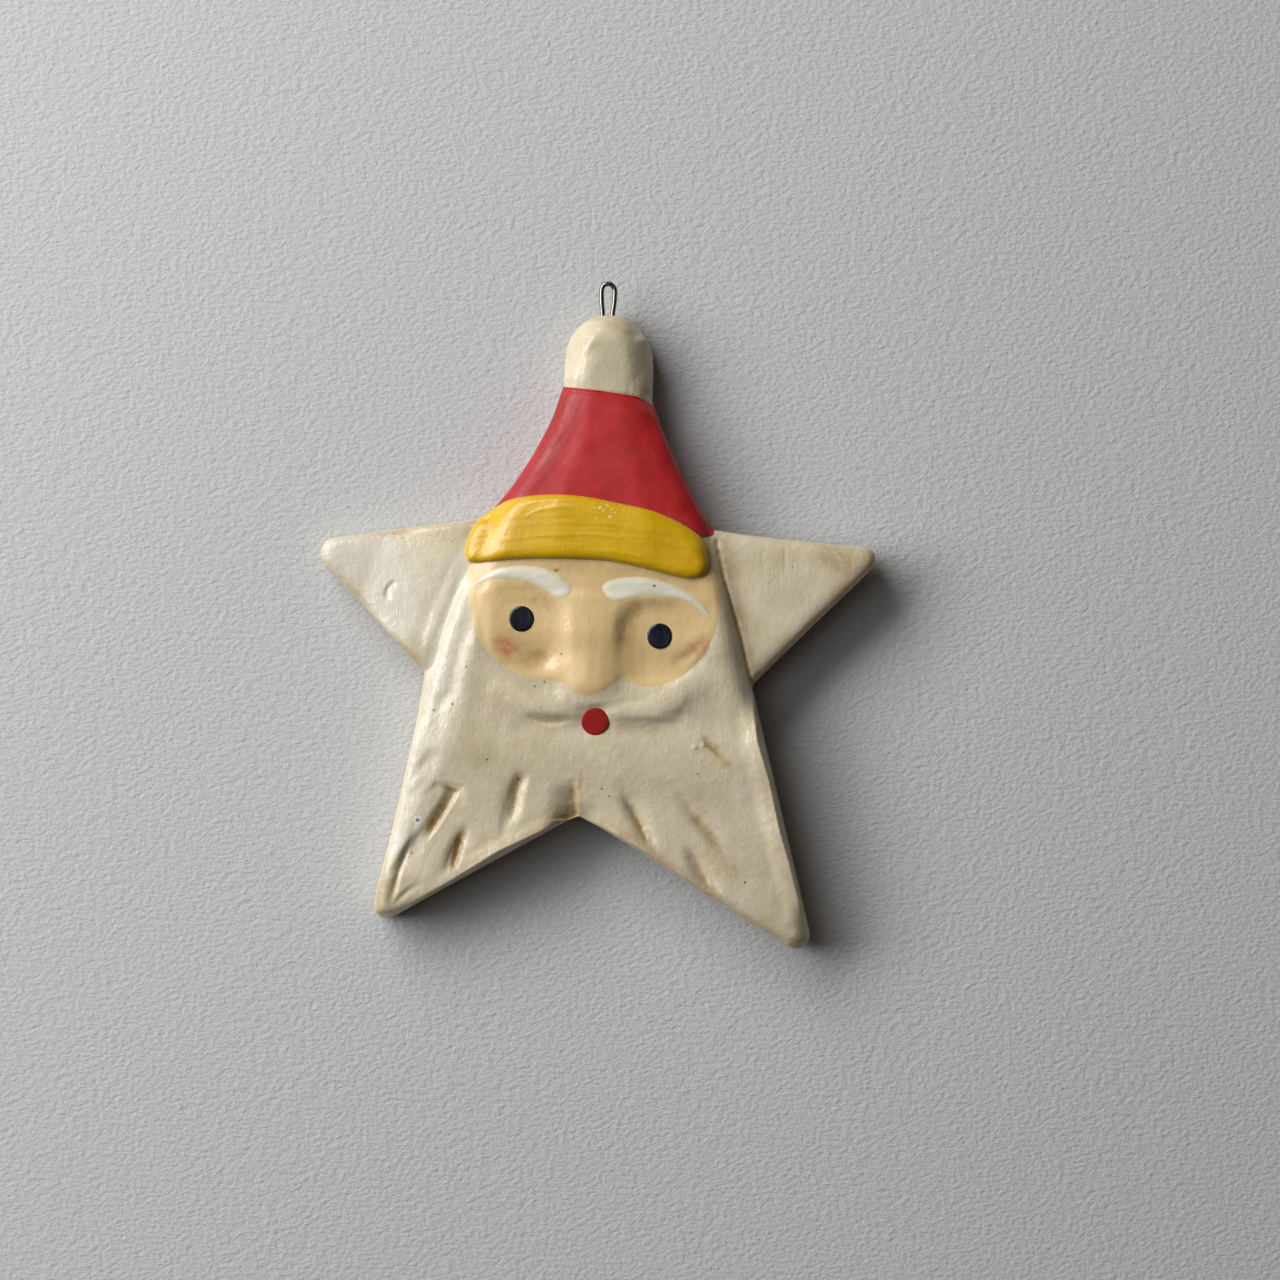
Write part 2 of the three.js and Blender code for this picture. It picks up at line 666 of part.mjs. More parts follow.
// The edges of the hat band, each with the share of the way from its left end to its right end.
const bandX = (share) => lerp(-bandWidth / 2, bandWidth / 2, share) - bandOffset;
const bandCorner = (share) => cornerInset(Math.min(share, 1 - share) * bandWidth, bandEndRound);
function bandBase(share) {
  const t = 2 * share - 1;
  return armpitZ - bandDrop - bandArch * t * t - (bandX(share) + bandOffset) * slope(bandTilt);
}
const bandLower = (share) => ({ x: bandX(share), z: bandBase(share) + bandCorner(share) });
function bandUpper(share) {
  const height = lerp(bandHeight, bandEndHeight, (2 * share - 1) ** 4);
  return { x: bandX(share), z: bandBase(share) + height - bandCorner(share) };
}

// The edges of a brow, from its inner end to its outer tip.
function browMiddle(side, share) {
  const x = side * (browGap / 2 + share * browSpan) - faceOffset * 1.8;
  const arch = browArch * 4 * share * (1 - share);
  return { x, z: armpitZ - browDrop - browFall * share + arch - (x + faceOffset) * slope(browTilt) };
}
function browEdge(side, share, direction) {
  const { x, z } = browMiddle(side, share);
  const swell = ease(share / 0.25 + 0.45) * (1 - ease((share - 0.2) / 0.85));
  const half = lerp(browTip, browHeight, swell) / 2;
  return { x, z: z + direction * (half - cornerInset(share * browSpan, half * 0.85)) };
}

// Shares of a length, closer together near its ends.
const spread = (k, steps) => 0.5 - 0.5 * Math.cos((Math.PI * k) / steps);

// A raised strip between a lower and an upper edge, rounded over all round its front. It reaches down
// into the casting, which is then cut from it.
function stripSolid({ lower, upper, seat, rise, round, along, across }) {
  const grid = Array.from({ length: along + 1 }, (_, i) => {
    const share = spread(i, along);
    const a = upper(share);
    const b = lower(share);
    return Array.from({ length: across + 1 }, (_, j) => {
      const v = spread(j, across);
      const x = lerp(a.x, b.x, v);
      const z = lerp(a.z, b.z, v);
      const high = Math.hypot(b.x - a.x, b.z - a.z);
      const long = Math.abs(lower(1).x - lower(0).x);
      const inset = Math.min(v * high, (1 - v) * high, share * long, (1 - share) * long);
      const left = 1 - Math.min(inset / round, 1);
      return [x, frontY(x, z) - seat - lerp(rise, rise * 0.35, left * left), z];
    });
  });
  const facets = new Facets();
  grid.slice(1).forEach((row, i) => {
    row.slice(1).forEach((corner, j) => facets.quad(grid[i][j], grid[i][j + 1], corner, row[j]));
  });
  const rim = [
    ...grid[0],
    ...grid.slice(1, -1).map((row) => row.at(-1)),
    ...[...grid.at(-1)].reverse(),
    ...grid.slice(1, -1).map((row) => row[0]).reverse(),
  ];
  const foot = rim.map(([x, , z]) => [x, 0, z]);
  facets.wall(rim, foot);
  facets.patch(foot, "back");
  return solidOf(facets.geometry());
}

// A bead set square on the casting's front, domed over above a short wall.
function beadSolid(x, z, diameter, seat) {
  const r = diameter / 2;
  const profile = [[0, -beadRoot], [r, -beadRoot], [r, beadEdge]].map((p) => new THREE.Vector2(...p));
  for (let k = 1; k <= 3; k++) {
    const angle = (k * Math.PI) / 6;
    const y = beadEdge + (beadRise - beadEdge) * Math.sin(angle);
    profile.push(new THREE.Vector2(k === 3 ? 0 : r * Math.cos(angle), y));
  }
  const bead = new THREE.LatheGeometry(profile, 20);
  const reach = r * 0.7;
  const fallX = (frontY(x + reach, z) - frontY(x - reach, z)) / (2 * reach);
  const fallZ = (frontY(x, z + reach) - frontY(x, z - reach)) / (2 * reach);
  const normal = new THREE.Vector3(fallX, -1, fallZ).normalize();
  bead.applyQuaternion(new THREE.Quaternion().setFromUnitVectors(new THREE.Vector3(0, 1, 0), normal));
  bead.translate(x, frontY(x, z) - seat, z);
  return solidOf(bead);
}

// The edges of the coats next to the band, at the clearance from its upper or lower edge.
function besideBand(edge, direction) {
  return Array.from({ length: bandSteps + 1 }, (_, k) => {
    const share = spread(k, bandSteps);
    const { x, z } = edge(share);
    return { x: x + (2 * share - 1) * coatClearance, z: z + direction * coatClearance };
  });
}

// The outline of the hat's colour: from its top edge down to the band, and past the casting's sides.
function hatZone() {
  const lowest = besideBand(bandUpper, 1);
  return [
    { x: farOut, z: hatEdgeLevel(farOut) },
    { x: -farOut, z: hatEdgeLevel(-farOut) },
    { x: -farOut, z: lowest[0].z },
    ...lowest,
    { x: farOut, z: lowest.at(-1).z },
  ];
}

// The outline of the face's colour: up to the band, round the cheeks and along the moustache, with the
// nose hanging over it.
function faceZone() {
  const left = -faceWidth / 2 - faceOffset;
  const right = faceWidth / 2 - faceOffset;
  const bottom = armpitZ - faceDrop;
  const noseLeft = -noseWidth / 2 - faceOffset * 1.4;
  const noseRight = noseLeft + noseWidth;
  const corner = cheekRadius * 0.2;
  const sag = cheekRadius * 0.04;
  const path = new THREE.Path();
  path.moveTo(left, bottom + cheekRadius);
  path.quadraticCurveTo(left + corner, bottom + corner, left + cheekRadius, bottom + sag);
  path.lineTo(noseLeft, bottom);
  path.quadraticCurveTo((noseLeft + noseRight) / 2, 2 * noseTipZ - bottom, noseRight, bottom);
  path.lineTo(right - cheekRadius, bottom - sag);
  path.quadraticCurveTo(right - corner, bottom + corner, right, bottom + cheekRadius);
  const cheeks = path.getPoints(8).map(({ x, y }) => ({ x, z: y }));
  const top = besideBand(bandLower, -1).filter(({ x }) => x > left && x < right);
  return [...cheeks, ...top.reverse()];
}

// A coat over a zone of the casting.
function coatSolid(zone, backLimit, seatSolid) {
  const reach = prism(zone, [
    { y: backY - chinThickness * 2, inset: 0 },
    { y: backLimit, inset: 0 },
  ]);
  return figureSolid(seatGap + coatThickness).intersect(reach).subtract(seatSolid);
}

// The pieces. bedded is the casting with the bed of the coats on it, and bedOnFace the face's coat with
// the bed of what lies on that.
const bedded = castingSolid(seatGap);
const faceTop = seatGap * 2 + coatThickness;
const bedOnFace = figureSolid(faceTop);

const boreRadius = (wireDiameter / 2 + boreClearance) / Math.cos(Math.PI / boreSides);
const bore = rodSolid(wirePath(boreClearance * 2), boreRadius, boreSides, boreSteps);
const body = gouges.reduce(
  (solid, gouge) => solid.subtract(gougeCutter(gouge)),
  castingSolid().subtract(bore),
);
const wire = rodSolid(wirePath(), wireDiameter / 2, wireSides, wireSteps);
const hat = coatSolid(hatZone(), backY - hatBackMargin, bedded);
const face = coatSolid(faceZone(), 0, bedded);
const band = stripSolid({
  lower: bandLower,
  upper: bandUpper,
  seat: seatGap,
  rise: bandRise,
  round: bandRound,
  along: bandSteps,
  across: 8,
}).subtract(bedded);
const brow = (side) => {
  const edge = (direction) => (share) => browEdge(side, side < 0 ? 1 - share : share, direction);
  const edges = { lower: edge(-1), upper: edge(1) };
  const size = { seat: faceTop, rise: browRise, round: browRound, along: 14, across: 4 };
  return stripSolid({ ...edges, ...size }).subtract(bedOnFace);
};
const eye = (side) => {
  const x = (side * eyeSpan) / 2 - faceOffset;
  return beadSolid(x, faceLevel(x, eyeDrop), eyeDiameter, faceTop).subtract(bedOnFace);
};
const mouth = beadSolid(0, mouthZ, mouthDiameter, seatGap).subtract(bedded);

const cream = { color: 0xd6cfbc, roughness: 0.42, metalness: 0 };
const red = { color: 0xa8232b, roughness: 0.35, metalness: 0 };
const yellow = { color: 0xd0a927, roughness: 0.4, metalness: 0 };
const flesh = { color: 0xd8c08a, roughness: 0.42, metalness: 0 };
const black = { color: 0x1b1a1a, roughness: 0.3, metalness: 0 };
const steel = { color: 0x9a958c, roughness: 0.3, metalness: 1 };

const ornament = new THREE.Group();
const pieces = [
  ["star_body", body, cream],
  ["hanger_loop", wire, steel],
  ["hat_coat", hat, red],
  ["hat_band", band, yellow],
  ["face_coat", face, flesh],
  ["eyebrow_left", brow(-1), cream],
  ["eyebrow_right", brow(1), cream],
  ["eye_left", eye(-1), black],
  ["eye_right", eye(1), black],
  ["mouth_dot", mouth, red],
];
for (const [name, solid, look] of pieces) {
  const mesh = new THREE.Mesh(geometryOf(solid), new THREE.MeshStandardMaterial(look));
  mesh.name = name;
  ornament.add(mesh);
}

export default ornament;
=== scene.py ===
import math

import bmesh
import bpy
import numpy as np
from mathutils import Matrix, Vector, noise
from mathutils.bvhtree import BVHTree


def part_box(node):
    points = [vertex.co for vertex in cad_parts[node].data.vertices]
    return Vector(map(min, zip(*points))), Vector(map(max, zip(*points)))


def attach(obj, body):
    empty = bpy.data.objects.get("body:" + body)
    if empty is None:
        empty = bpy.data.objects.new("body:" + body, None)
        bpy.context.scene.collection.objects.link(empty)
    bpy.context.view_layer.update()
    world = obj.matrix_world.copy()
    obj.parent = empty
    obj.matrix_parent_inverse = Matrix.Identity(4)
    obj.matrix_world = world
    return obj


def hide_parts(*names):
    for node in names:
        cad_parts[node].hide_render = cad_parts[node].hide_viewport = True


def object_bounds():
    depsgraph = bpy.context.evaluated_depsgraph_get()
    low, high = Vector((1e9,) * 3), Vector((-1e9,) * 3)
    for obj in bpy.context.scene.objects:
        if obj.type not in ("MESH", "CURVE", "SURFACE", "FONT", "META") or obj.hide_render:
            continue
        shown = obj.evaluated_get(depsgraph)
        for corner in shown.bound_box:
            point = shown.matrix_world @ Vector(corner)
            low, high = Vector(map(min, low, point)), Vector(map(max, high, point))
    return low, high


bl_info = {
    "name": "Star Santa Ornament",
    "version": (1, 0, 0),
    "blender": (4, 5, 0),
    "location": "3D View > Sidebar > Ornament",
    "description": "Dresses the packed frame of a carved and painted star ornament",
    "category": "Object",
}

MM = 0.001
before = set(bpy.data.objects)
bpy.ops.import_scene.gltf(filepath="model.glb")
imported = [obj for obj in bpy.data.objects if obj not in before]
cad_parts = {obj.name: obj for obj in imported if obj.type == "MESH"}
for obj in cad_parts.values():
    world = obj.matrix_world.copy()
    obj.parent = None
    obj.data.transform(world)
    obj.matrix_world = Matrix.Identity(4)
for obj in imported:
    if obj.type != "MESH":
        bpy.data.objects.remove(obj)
cad_box = [list(corner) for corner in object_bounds()]
back_level = cad_box[1][1] / MM

# Places below are (x, z) in millimetres, as seen from the front, with the hook's bearing point as origin.


# Helpers for lines of places


def smooth_line(places, step, closed=False):
    """Places about step apart on a smooth line through the given ones."""
    places = [np.array(p, float) for p in places]
    count = len(places)
    spans = range(count if closed else count - 1)
    made = []
    for i in spans:
        near = [
            places[(i + k) % count] if closed else places[min(max(i + k, 0), count - 1)]
            for k in (-1, 0, 1, 2)
        ]
        p0, p1, p2, p3 = near
        parts = max(1, round(np.linalg.norm(p2 - p1) / step))
        for t in np.arange(parts) / parts:
            made.append(
                0.5
                * (
                    2 * p1
                    + (p2 - p0) * t
                    + (2 * p0 - 5 * p1 + 4 * p2 - p3) * t**2
                    + (3 * p1 - p0 - 3 * p2 + p3) * t**3
                )
            )
    if not closed:
        made.append(places[-1])
    return np.array(made)


def nearest(line, x, z, closed=False):
    """For each place: how far it is from a line, how far along the line that is from 0 to 1, and on which
    side. The side is positive to the right of a line that runs down, and above one that runs right."""
    line = np.array(line, float)
    ends = np.roll(line, -1, 0) if closed else line[1:]
    starts = line if closed else line[:-1]
    lengths = np.linalg.norm(ends - starts, axis=1)
    total = lengths.sum()
    before = np.concatenate([[0], np.cumsum(lengths)[:-1]])
    best = np.full(x.shape, np.inf)
    along = np.zeros(x.shape)
    side = np.zeros(x.shape)
    for a, b, length, start in zip(starts, ends, lengths, before):
        dx, dz = b - a
        t = np.clip(((x - a[0]) * dx + (z - a[1]) * dz) / length**2, 0, 1)
        away = np.hypot(x - a[0] - t * dx, z - a[1] - t * dz)
        closer = away < best
        best = np.where(closer, away, best)
        along = np.where(closer, (start + t * length) / total, along)
        side = np.where(closer, np.sign(dx * (z - a[1]) - dz * (x - a[0])), side)
    return best, along, side


def ease(t):
    t = np.clip(t, 0, 1)
    return t * t * (3 - 2 * t)


def stroke(x, z, line, widths, taper=(0.3, 0.4)):
    """The profile of one cut of a gouge, 1 at its deepest and 0 at its edges. The two widths are those
    of its left and right flank if it runs down, or of its lower and upper one if it runs right."""
    low, high = line.min(0) - max(widths), line.max(0) + max(widths)
    close = (x > low[0]) & (x < high[0]) & (z > low[1]) & (z < high[1])
    away, along, side = nearest(line, x[close], z[close])
    share = np.zeros(x.shape)
    share[close] = ease(1 - away / np.where(side < 0, widths[0], widths[1]))
    share[close] *= ease(along / taper[0]) * ease((1 - along) / taper[1])
    return share


# Where the real casting leaves the frame's plainer outline: place, and how far it lies to the right of
# the frame's and above it there.
PULLS = [
    # down the left of the pom-pom and the hat, out along the arm and back
    ((-5.2, -6.6), (0.5, 0.0)), ((-6.9, -10.2), (0.9, 0.0)), ((-7.6, -14.0), (1.0, 0.0)), ((-8.2, -17.8), (1.3, 0.0)),
    ((-9.2, -21.6), (1.8, 0.0)), ((-11.4, -25.6), (1.6, 0.0)), ((-13.7, -29.6), (1.4, 0.0)),
    ((-15.8, -33.2), (1.2, 0.1)), ((-17.8, -36.4), (0.8, 0.4)), ((-19.4, -38.2), (0.2, 0.7)),
    ((-30.0, -40.0), (0.0, 0.5)), ((-38.0, -41.2), (0.0, 0.45)), ((-44.5, -44.6), (0.0, 0.4)),
    ((-39.1, -51.6), (0.35, 0.35)), ((-35.8, -55.2), (0.5, 0.5)), ((-32.4, -58.8), (0.55, 0.55)),
    # down the left flank
    ((-28.9, -65.0), (1.0, 0.4)), ((-29.7, -69.8), (1.2, 0.0)), ((-30.6, -75.0), (1.2, 0.0)),
    ((-31.8, -82.0), (1.1, 0.0)), ((-33.0, -88.6), (0.9, 0.0)), ((-34.2, -95.0), (0.5, 0.0)),
    # down the right of the hat and out along the arm
    ((9.6, -22.9), (-0.3, 0.0)), ((11.4, -27.0), (-0.6, 0.0)), ((13.6, -31.0), (-0.8, 0.0)),
    ((15.6, -34.0), (-1.1, 0.0)), ((17.4, -36.8), (-1.2, 0.0)), ((19.4, -38.8), (-0.5, -0.7)),
    ((28.0, -39.4), (0.0, -0.6)), ((36.0, -40.0), (0.0, -0.45)), ((43.8, -42.4), (0.0, -0.1)),
    # the two halves of the moustache
    ((-7.0, -69.4), (0.0, -0.4)), ((7.4, -69.4), (0.0, -0.4)),
]

# The carved face, section by section from the brows down: z, then places (x, y) across it.
SECTIONS = [
    (-49.5, [(-20, -5.6), (-18, -6.1), (-16, -6.25), (-13, -6.3), (-10, -6.4), (-8, -6.6), (-6, -6.9), (-4, -7.1),
             (-1.5, -7.2), (1, -7.1), (3, -6.95), (5, -6.85), (8, -6.75), (11, -6.65), (14, -6.5), (17, -6.35), (19, -6.1)]),
    (-51, [(-20, -5.65), (-18.4, -6.1), (-17, -6.3), (-14, -6.2), (-11, -6.2), (-9, -6.3), (-7.4, -6.45), (-6, -6.7),
           (-4.3, -7.1), (-1.5, -7.2), (1, -7.15), (3.2, -7.0), (5.2, -6.7), (6.8, -6.2), (9, -6.1), (11, -6.15),
           (14, -6.3), (17, -6.35), (19, -6.15)]),
    (-52.5, [(-20, -5.8), (-18.5, -6.2), (-17, -6.45), (-14, -6.25), (-11, -6.2), (-9, -6.25), (-7.4, -6.4),
             (-6, -6.6), (-4.1, -7.25), (-1.5, -7.35), (1, -7.3), (2.8, -7.15), (3.8, -6.8), (5.4, -6.1), (7, -5.95),
             (10, -5.95), (13, -6.05), (16, -6.25), (18, -6.35), (19, -6.2)]),
    (-54.5, [(-20, -6.0), (-18.6, -6.2), (-17, -6.5), (-15, -6.38), (-12, -6.2), (-9, -6.25), (-7.2, -6.4), (-6, -6.6),
             (-3.9, -7.35), (-1.5, -7.5), (1, -7.4), (2.7, -7.2), (4.5, -6.2), (6, -6.0), (8, -5.85), (11, -5.85),
             (14, -6.0), (16.5, -6.2), (18, -6.3), (19, -6.3)]),
    (-57, [(-20, -6.2), (-18.6, -6.3), (-17, -6.5), (-15, -6.38), (-12, -6.25), (-9, -6.25), (-7.2, -6.4), (-6, -6.62),
           (-3.8, -7.4), (-1.5, -7.6), (1, -7.5), (2.6, -7.25), (4.3, -6.4), (6, -6.05), (8, -5.85), (11, -5.8),
           (14, -5.95), (16.5, -6.15), (18, -6.25), (19, -6.3)]),
    (-59, [(-19.5, -6.4), (-17, -6.5), (-14, -6.35), (-11, -6.2), (-9, -6.05), (-7.6, -6.1), (-6.2, -6.6), (-3.6, -7.45),
           (-1.5, -7.75), (0.8, -7.65), (2.6, -7.3), (4.2, -6.6), (6, -6.15), (8, -5.9), (11, -5.8), (13.5, -5.85),
           (15, -5.95), (16.5, -6.15), (18.5, -6.25)]),
    (-60.4, [(-19, -6.45), (-16, -6.5), (-13, -6.3), (-10.5, -6.0), (-9, -5.85), (-8, -5.95), (-6.6, -6.6), (-5, -7.1),
             (-3.5, -7.5), (-1.5, -7.9), (0.8, -7.75), (2.6, -7.35), (4.4, -6.7), (6, -6.25), (8, -5.95), (11, -5.85),
             (13.5, -5.95), (16, -6.15), (18, -6.3)]),
    (-62.2, [(-18, -6.4), (-15, -6.55), (-12, -6.45), (-10, -6.45), (-8.6, -6.65), (-7, -6.9), (-5.4, -7.15),
             (-3.6, -7.6), (-1.5, -8.0), (0.8, -7.85), (2.6, -7.4), (4.4, -6.75), (6, -6.35), (8, -6.1), (11, -6.1),
             (14, -6.25), (17, -6.4)]),
    (-64, [(-16, -6.6), (-13, -6.87), (-10, -6.65), (-8, -6.65), (-6.4, -6.8), (-4.6, -7.3), (-3, -7.85), (-1, -8.0),
           (1, -7.8), (2.6, -7.4), (4, -7.0), (6, -6.8), (8, -6.7), (11, -6.82), (14, -6.94)]),
    (-66, [(-14, -7.13), (-10, -7.15), (-6, -7.15), (-4, -7.4), (-2, -7.55), (0, -7.5), (1.6, -7.4), (3, -7.3),
           (5, -7.15), (8, -7.1), (12, -7.25)]),
    (-68, [(-12, -7.0), (-10, -7.2), (-6, -7.28), (-4, -7.25), (-2, -7.1), (0, -7.0), (2, -7.1), (4, -7.25), (8, -7.3),
           (12, -7.0)]),
]
# The part of the front that has these sections
CARVED = [
    (-19.8, -49.0), (-20.2, -53.0), (-18.8, -57.6), (-16.4, -60.8), (-13.0, -63.2), (-9.5, -64.4), (-6.5, -65.4),
    (-4.5, -67.6), (-1.0, -68.4), (2.5, -67.8), (6.0, -67.0), (9.6, -65.8), (12.8, -63.8), (16.2, -61.2),
    (18.6, -58.0), (19.6, -54.0), (19.4, -49.0), (14.0, -47.8), (-14.0, -47.8),
]

# The left leg's plane before its long gouge is cut, and the part that has it
LEG_SECTIONS = [
    (-79, [(-29, -4.9), (-27.6, -5.3), (-26, -5.5), (-18, -5.55)]),
    (-84, [(-29.2, -4.56), (-28.4, -4.95), (-27.6, -5.25), (-26, -5.45), (-18, -5.5)]),
    (-87.5, [(-30, -4.55), (-29.2, -4.88), (-28.4, -5.1), (-27.6, -5.25), (-26, -5.38), (-18, -5.4)]),
    (-91.2, [(-30.8, -4.5), (-30, -4.71), (-29, -4.92), (-27, -5.2), (-18, -5.32)]),
    (-95, [(-32.4, -3.95), (-31.6, -4.31), (-30, -4.65), (-28, -4.9), (-18, -5.0)]),
    (-98, [(-33.2, -3.9), (-31.6, -4.3), (-30, -4.5), (-28, -4.62), (-18, -4.7)]),
    (-100, [(-33.6, -3.7), (-31.6, -4.1), (-18, -4.4)]),
]
LEG_CARVED = [
    (-25.2, -79.6), (-20.2, -80.2), (-20.0, -85.6), (-21.6, -87.4), (-22.8, -91.5), (-24.2, -94.6), (-27.4, -96.8),
    (-32.0, -100.6), (-30.9, -94.8), (-30.0, -91.8), (-28.4, -85.4), (-27.2, -82.0),
]

# Places where the frame's relief is smoothed away: middle, reach and share.
SMOOTHED = [((-14.2, -68.2), 4.6, 0.9), ((16.4, -68.4), 3.8, 0.8)]

# Flats that the knife left: line, which side of it falls back (-1 is the left of a line that runs
# down), how steeply, and how far.
FLATS = [
    ([(-19.4, -54.0), (-19.8, -62.0), (-20.4, -68.0), (-22.0, -74.0), (-24.0, -79.0)], 1, 0.07, 6.0),
    ([(-19.6, -40.0), (-20.6, -50.0), (-22.4, -60.0), (-24.4, -70.0)], -1, -0.09, 5.0),
    ([(-20.4, -40.0), (-24.0, -50.0), (-27.6, -60.0)], -1, 0.13, 13.0),
    ([(-0.5, -4.6), (-2.4, -9.4), (-4.8, -13.4), (-5.4, -19.4)], 1, 0.11, 9.0),
    ([(-4.0, -16.0), (-6.7, -25.0), (-9.2, -29.2), (-14.4, -37.0)], -1, -0.1, 7.0),
]

# Edges that are crisper than the frame's rounded ones: line, how far in the rounding starts, and how
# much of its fall is taken back.
EDGES = [
    ([(-31.1, -101.8), (-14.6, -90.8), (-3.6, -85.4)], 2.4, 1.3),
    ([(-1.2, -85.0), (9.4, -90.5), (22.5, -98.9), (32.3, -105.4)], 2.4, 1.35),
    ([(24.9, -64.0), (26.1, -72.0), (28.2, -78.3), (30.1, -86.3), (33.6, -96.6), (35.4, -102.9)], 3.6, 2.0),
    ([(5.7, -6.9), (7.4, -10.4), (8.3, -14.4), (8.6, -17.2)], 3.4, 1.6),
    ([(8.3, -18.6), (10.2, -24.4), (12.7, -29.1), (15.7, -34.6), (17.8, -38.6)], 2.4, 1.3),
    ([(-28.2, -66.4), (-29.2, -73.6), (-30.9, -82.5), (-33.0, -93.0), (-34.8, -99.5)], 7.0, 1.2),
]

# The carving that the casting gets: line, widths of the two flanks, depth, tapers of the two ends, and
# how much brown wash lies in it. A depth below 0 is a ridge.
CUTS = [
    # the crease of the right cheek
    ([(11.8, -60.2), (14.2, -59.0), (16.4, -57.2), (17.6, -55.4)], (1.0, 1.0), 0.12, (0.3, 0.3), 0.1),
    # under the moustache's left roll
    ([(-12.0, -66.4), (-11.4, -68.0), (-9.4, -69.6), (-7.1, -70.1), (-4.8, -69.8), (-2.7, -69.0)],
     (0.7, 1.8), 0.24, (0.3, 0.3), 0.1),
    # hat and pom-pom: the edges of their left flats, and the crease between the two
    ([(-1.0, -7.5), (-3.1, -9.7), (-4.6, -11.4), (-5.3, -13.9), (-5.5, -16.4)], (0.8, 1.5), -0.18, (0.25, 0.15), 0),
    ([(-7.4, -16.7), (-0.6, -17.2), (5.1, -17.8), (8.0, -19.0)], (1.0, 0.4), 0.28, (0.05, 0.05), 0),
    ([(-5.6, -18.6), (-5.6, -21.3), (-6.7, -25.0), (-9.2, -29.2), (-12.4, -33.7)],
     (1.8, 2.0), -0.08, (0.2, 0.1), 0),
    # where the arms meet the head
    ([(18.4, -39.6), (19.8, -45.5), (21.3, -50.4), (22.8, -55.1), (24.2, -60.4), (25.2, -63.6)],
     (0.5, 0.5), 0.36, (0.04, 0.04), 0.7),
    ([(-20.4, -39.4), (-21.8, -43.4), (-25.4, -50.4), (-27.6, -56.2), (-28.4, -61.4)],
     (2.4, 1.6), 0.12, (0.2, 0.2), 0.04),
    # locks down the left flank
    ([(-21.9, -42.8), (-24.0, -48.2), (-25.8, -52.8), (-27.2, -57.0), (-28.0, -62.0)],
     (1.0, 1.6), -0.1, (0.25, 0.25), 0),
    ([(-20.6, -44.6), (-21.5, -50.6), (-22.5, -55.8), (-23.4, -61.0)], (1.6, 1.8), -0.05, (0.2, 0.35), 0),
    ([(-22.2, -46.4), (-23.4, -52.0), (-24.6, -57.0), (-25.4, -62.6)], (0.9, 1.0), 0.08, (0.3, 0.3), 0.08),
    ([(-25.4, -75.6), (-27.0, -79.0), (-30.4, -82.4)], (1.0, 1.0), -0.08, (0.3, 0.3), 0),
    ([(-22.2, -64.0), (-24.0, -66.6), (-26.2, -69.2)], (1.3, 1.7), 0.16, (0.45, 0.45), 0.06),
    ([(-25.2, -74.2), (-26.8, -76.8), (-28.6, -79.4)], (1.1, 1.4), 0.18, (0.4, 0.45), 0.16),
    # gouges in the left half of the beard
    ([(-21.6, -81.2), (-23.2, -84.4), (-25.0, -87.4), (-26.6, -90.0)], (2.1, 0.5), 0.8, (0.05, 0.42), 0.3),
    ([(-26.2, -87.0), (-28.3, -90.2), (-30.0, -92.8), (-31.6, -96.0)], (1.3, 2.1), 0.2, (0.3, 0.4), 0.16),
    ([(-26.2, -87.0), (-28.3, -90.2), (-30.0, -92.8), (-31.6, -96.0)], (1.3, 4.6), 0.3, (0.35, 0.4), 0),
    ([(-20.5, -87.9), (-21.2, -91.2), (-21.9, -94.6)], (0.8, 0.8), 0.42, (0.35, 0.35), 0.7),
    ([(-10.6, -77.6), (-11.7, -80.7), (-12.2, -83.8), (-12.9, -87.4)], (1.7, 1.3), 0.4, (0.22, 0.4), 0.2),
    ([(-3.2, -78.6), (-2.8, -82.0), (-2.5, -85.4)], (4.8, 0.5), 1.1, (0.6, 0.02), 0.08),
    # and in the right half
    ([(4.2, -80.9), (6.4, -83.6), (8.0, -86.3), (9.3, -90.0)], (1.8, 0.6), 0.34, (0.35, 0.3), 0.16),
    ([(12.9, -80.0), (15.8, -83.4), (18.3, -86.5), (20.5, -88.9), (22.9, -92.7)],
     (1.8, 0.9), 0.24, (0.35, 0.35), 0.14),
    ([(15.2, -89.0), (17.1, -91.6), (19.4, -96.6)], (1.8, 0.7), 0.26, (0.35, 0.3), 0.14),
    ([(17.0, -71.2), (19.1, -73.5), (21.5, -75.4)], (0.7, 0.8), 0.2, (0.35, 0.35), 0.4),
    ([(15.7, -73.5), (16.5, -73.3)], (0.5, 0.5), -0.2, (0.1, 0.1), 0),
    ([(17.2, -73.1), (17.9, -72.8)], (0.5, 0.5), -0.18, (0.1, 0.1), 0),
    # a dent in the left arm, and saw marks in the right one
    ([(-32.4, -48.0), (-33.6, -49.1), (-34.1, -50.6), (-33.2, -51.5)], (0.35, 1.1), 0.26, (0.2, 0.2), 0.15),
    ([(26.0, -41.2), (26.1, -45.8)], (0.3, 0.3), 0.08, (0.2, 0.4), 0.12),
    ([(29.6, -40.6), (29.6, -46.0)], (0.3, 0.3), 0.08, (0.2, 0.4), 0.12),
    # a hairline crack above the notch of the beard
    ([(-1.7, -77.4), (-1.8, -81.4)], (0.35, 0.35), 0.06, (0.2, 0.2), 0.3),
]

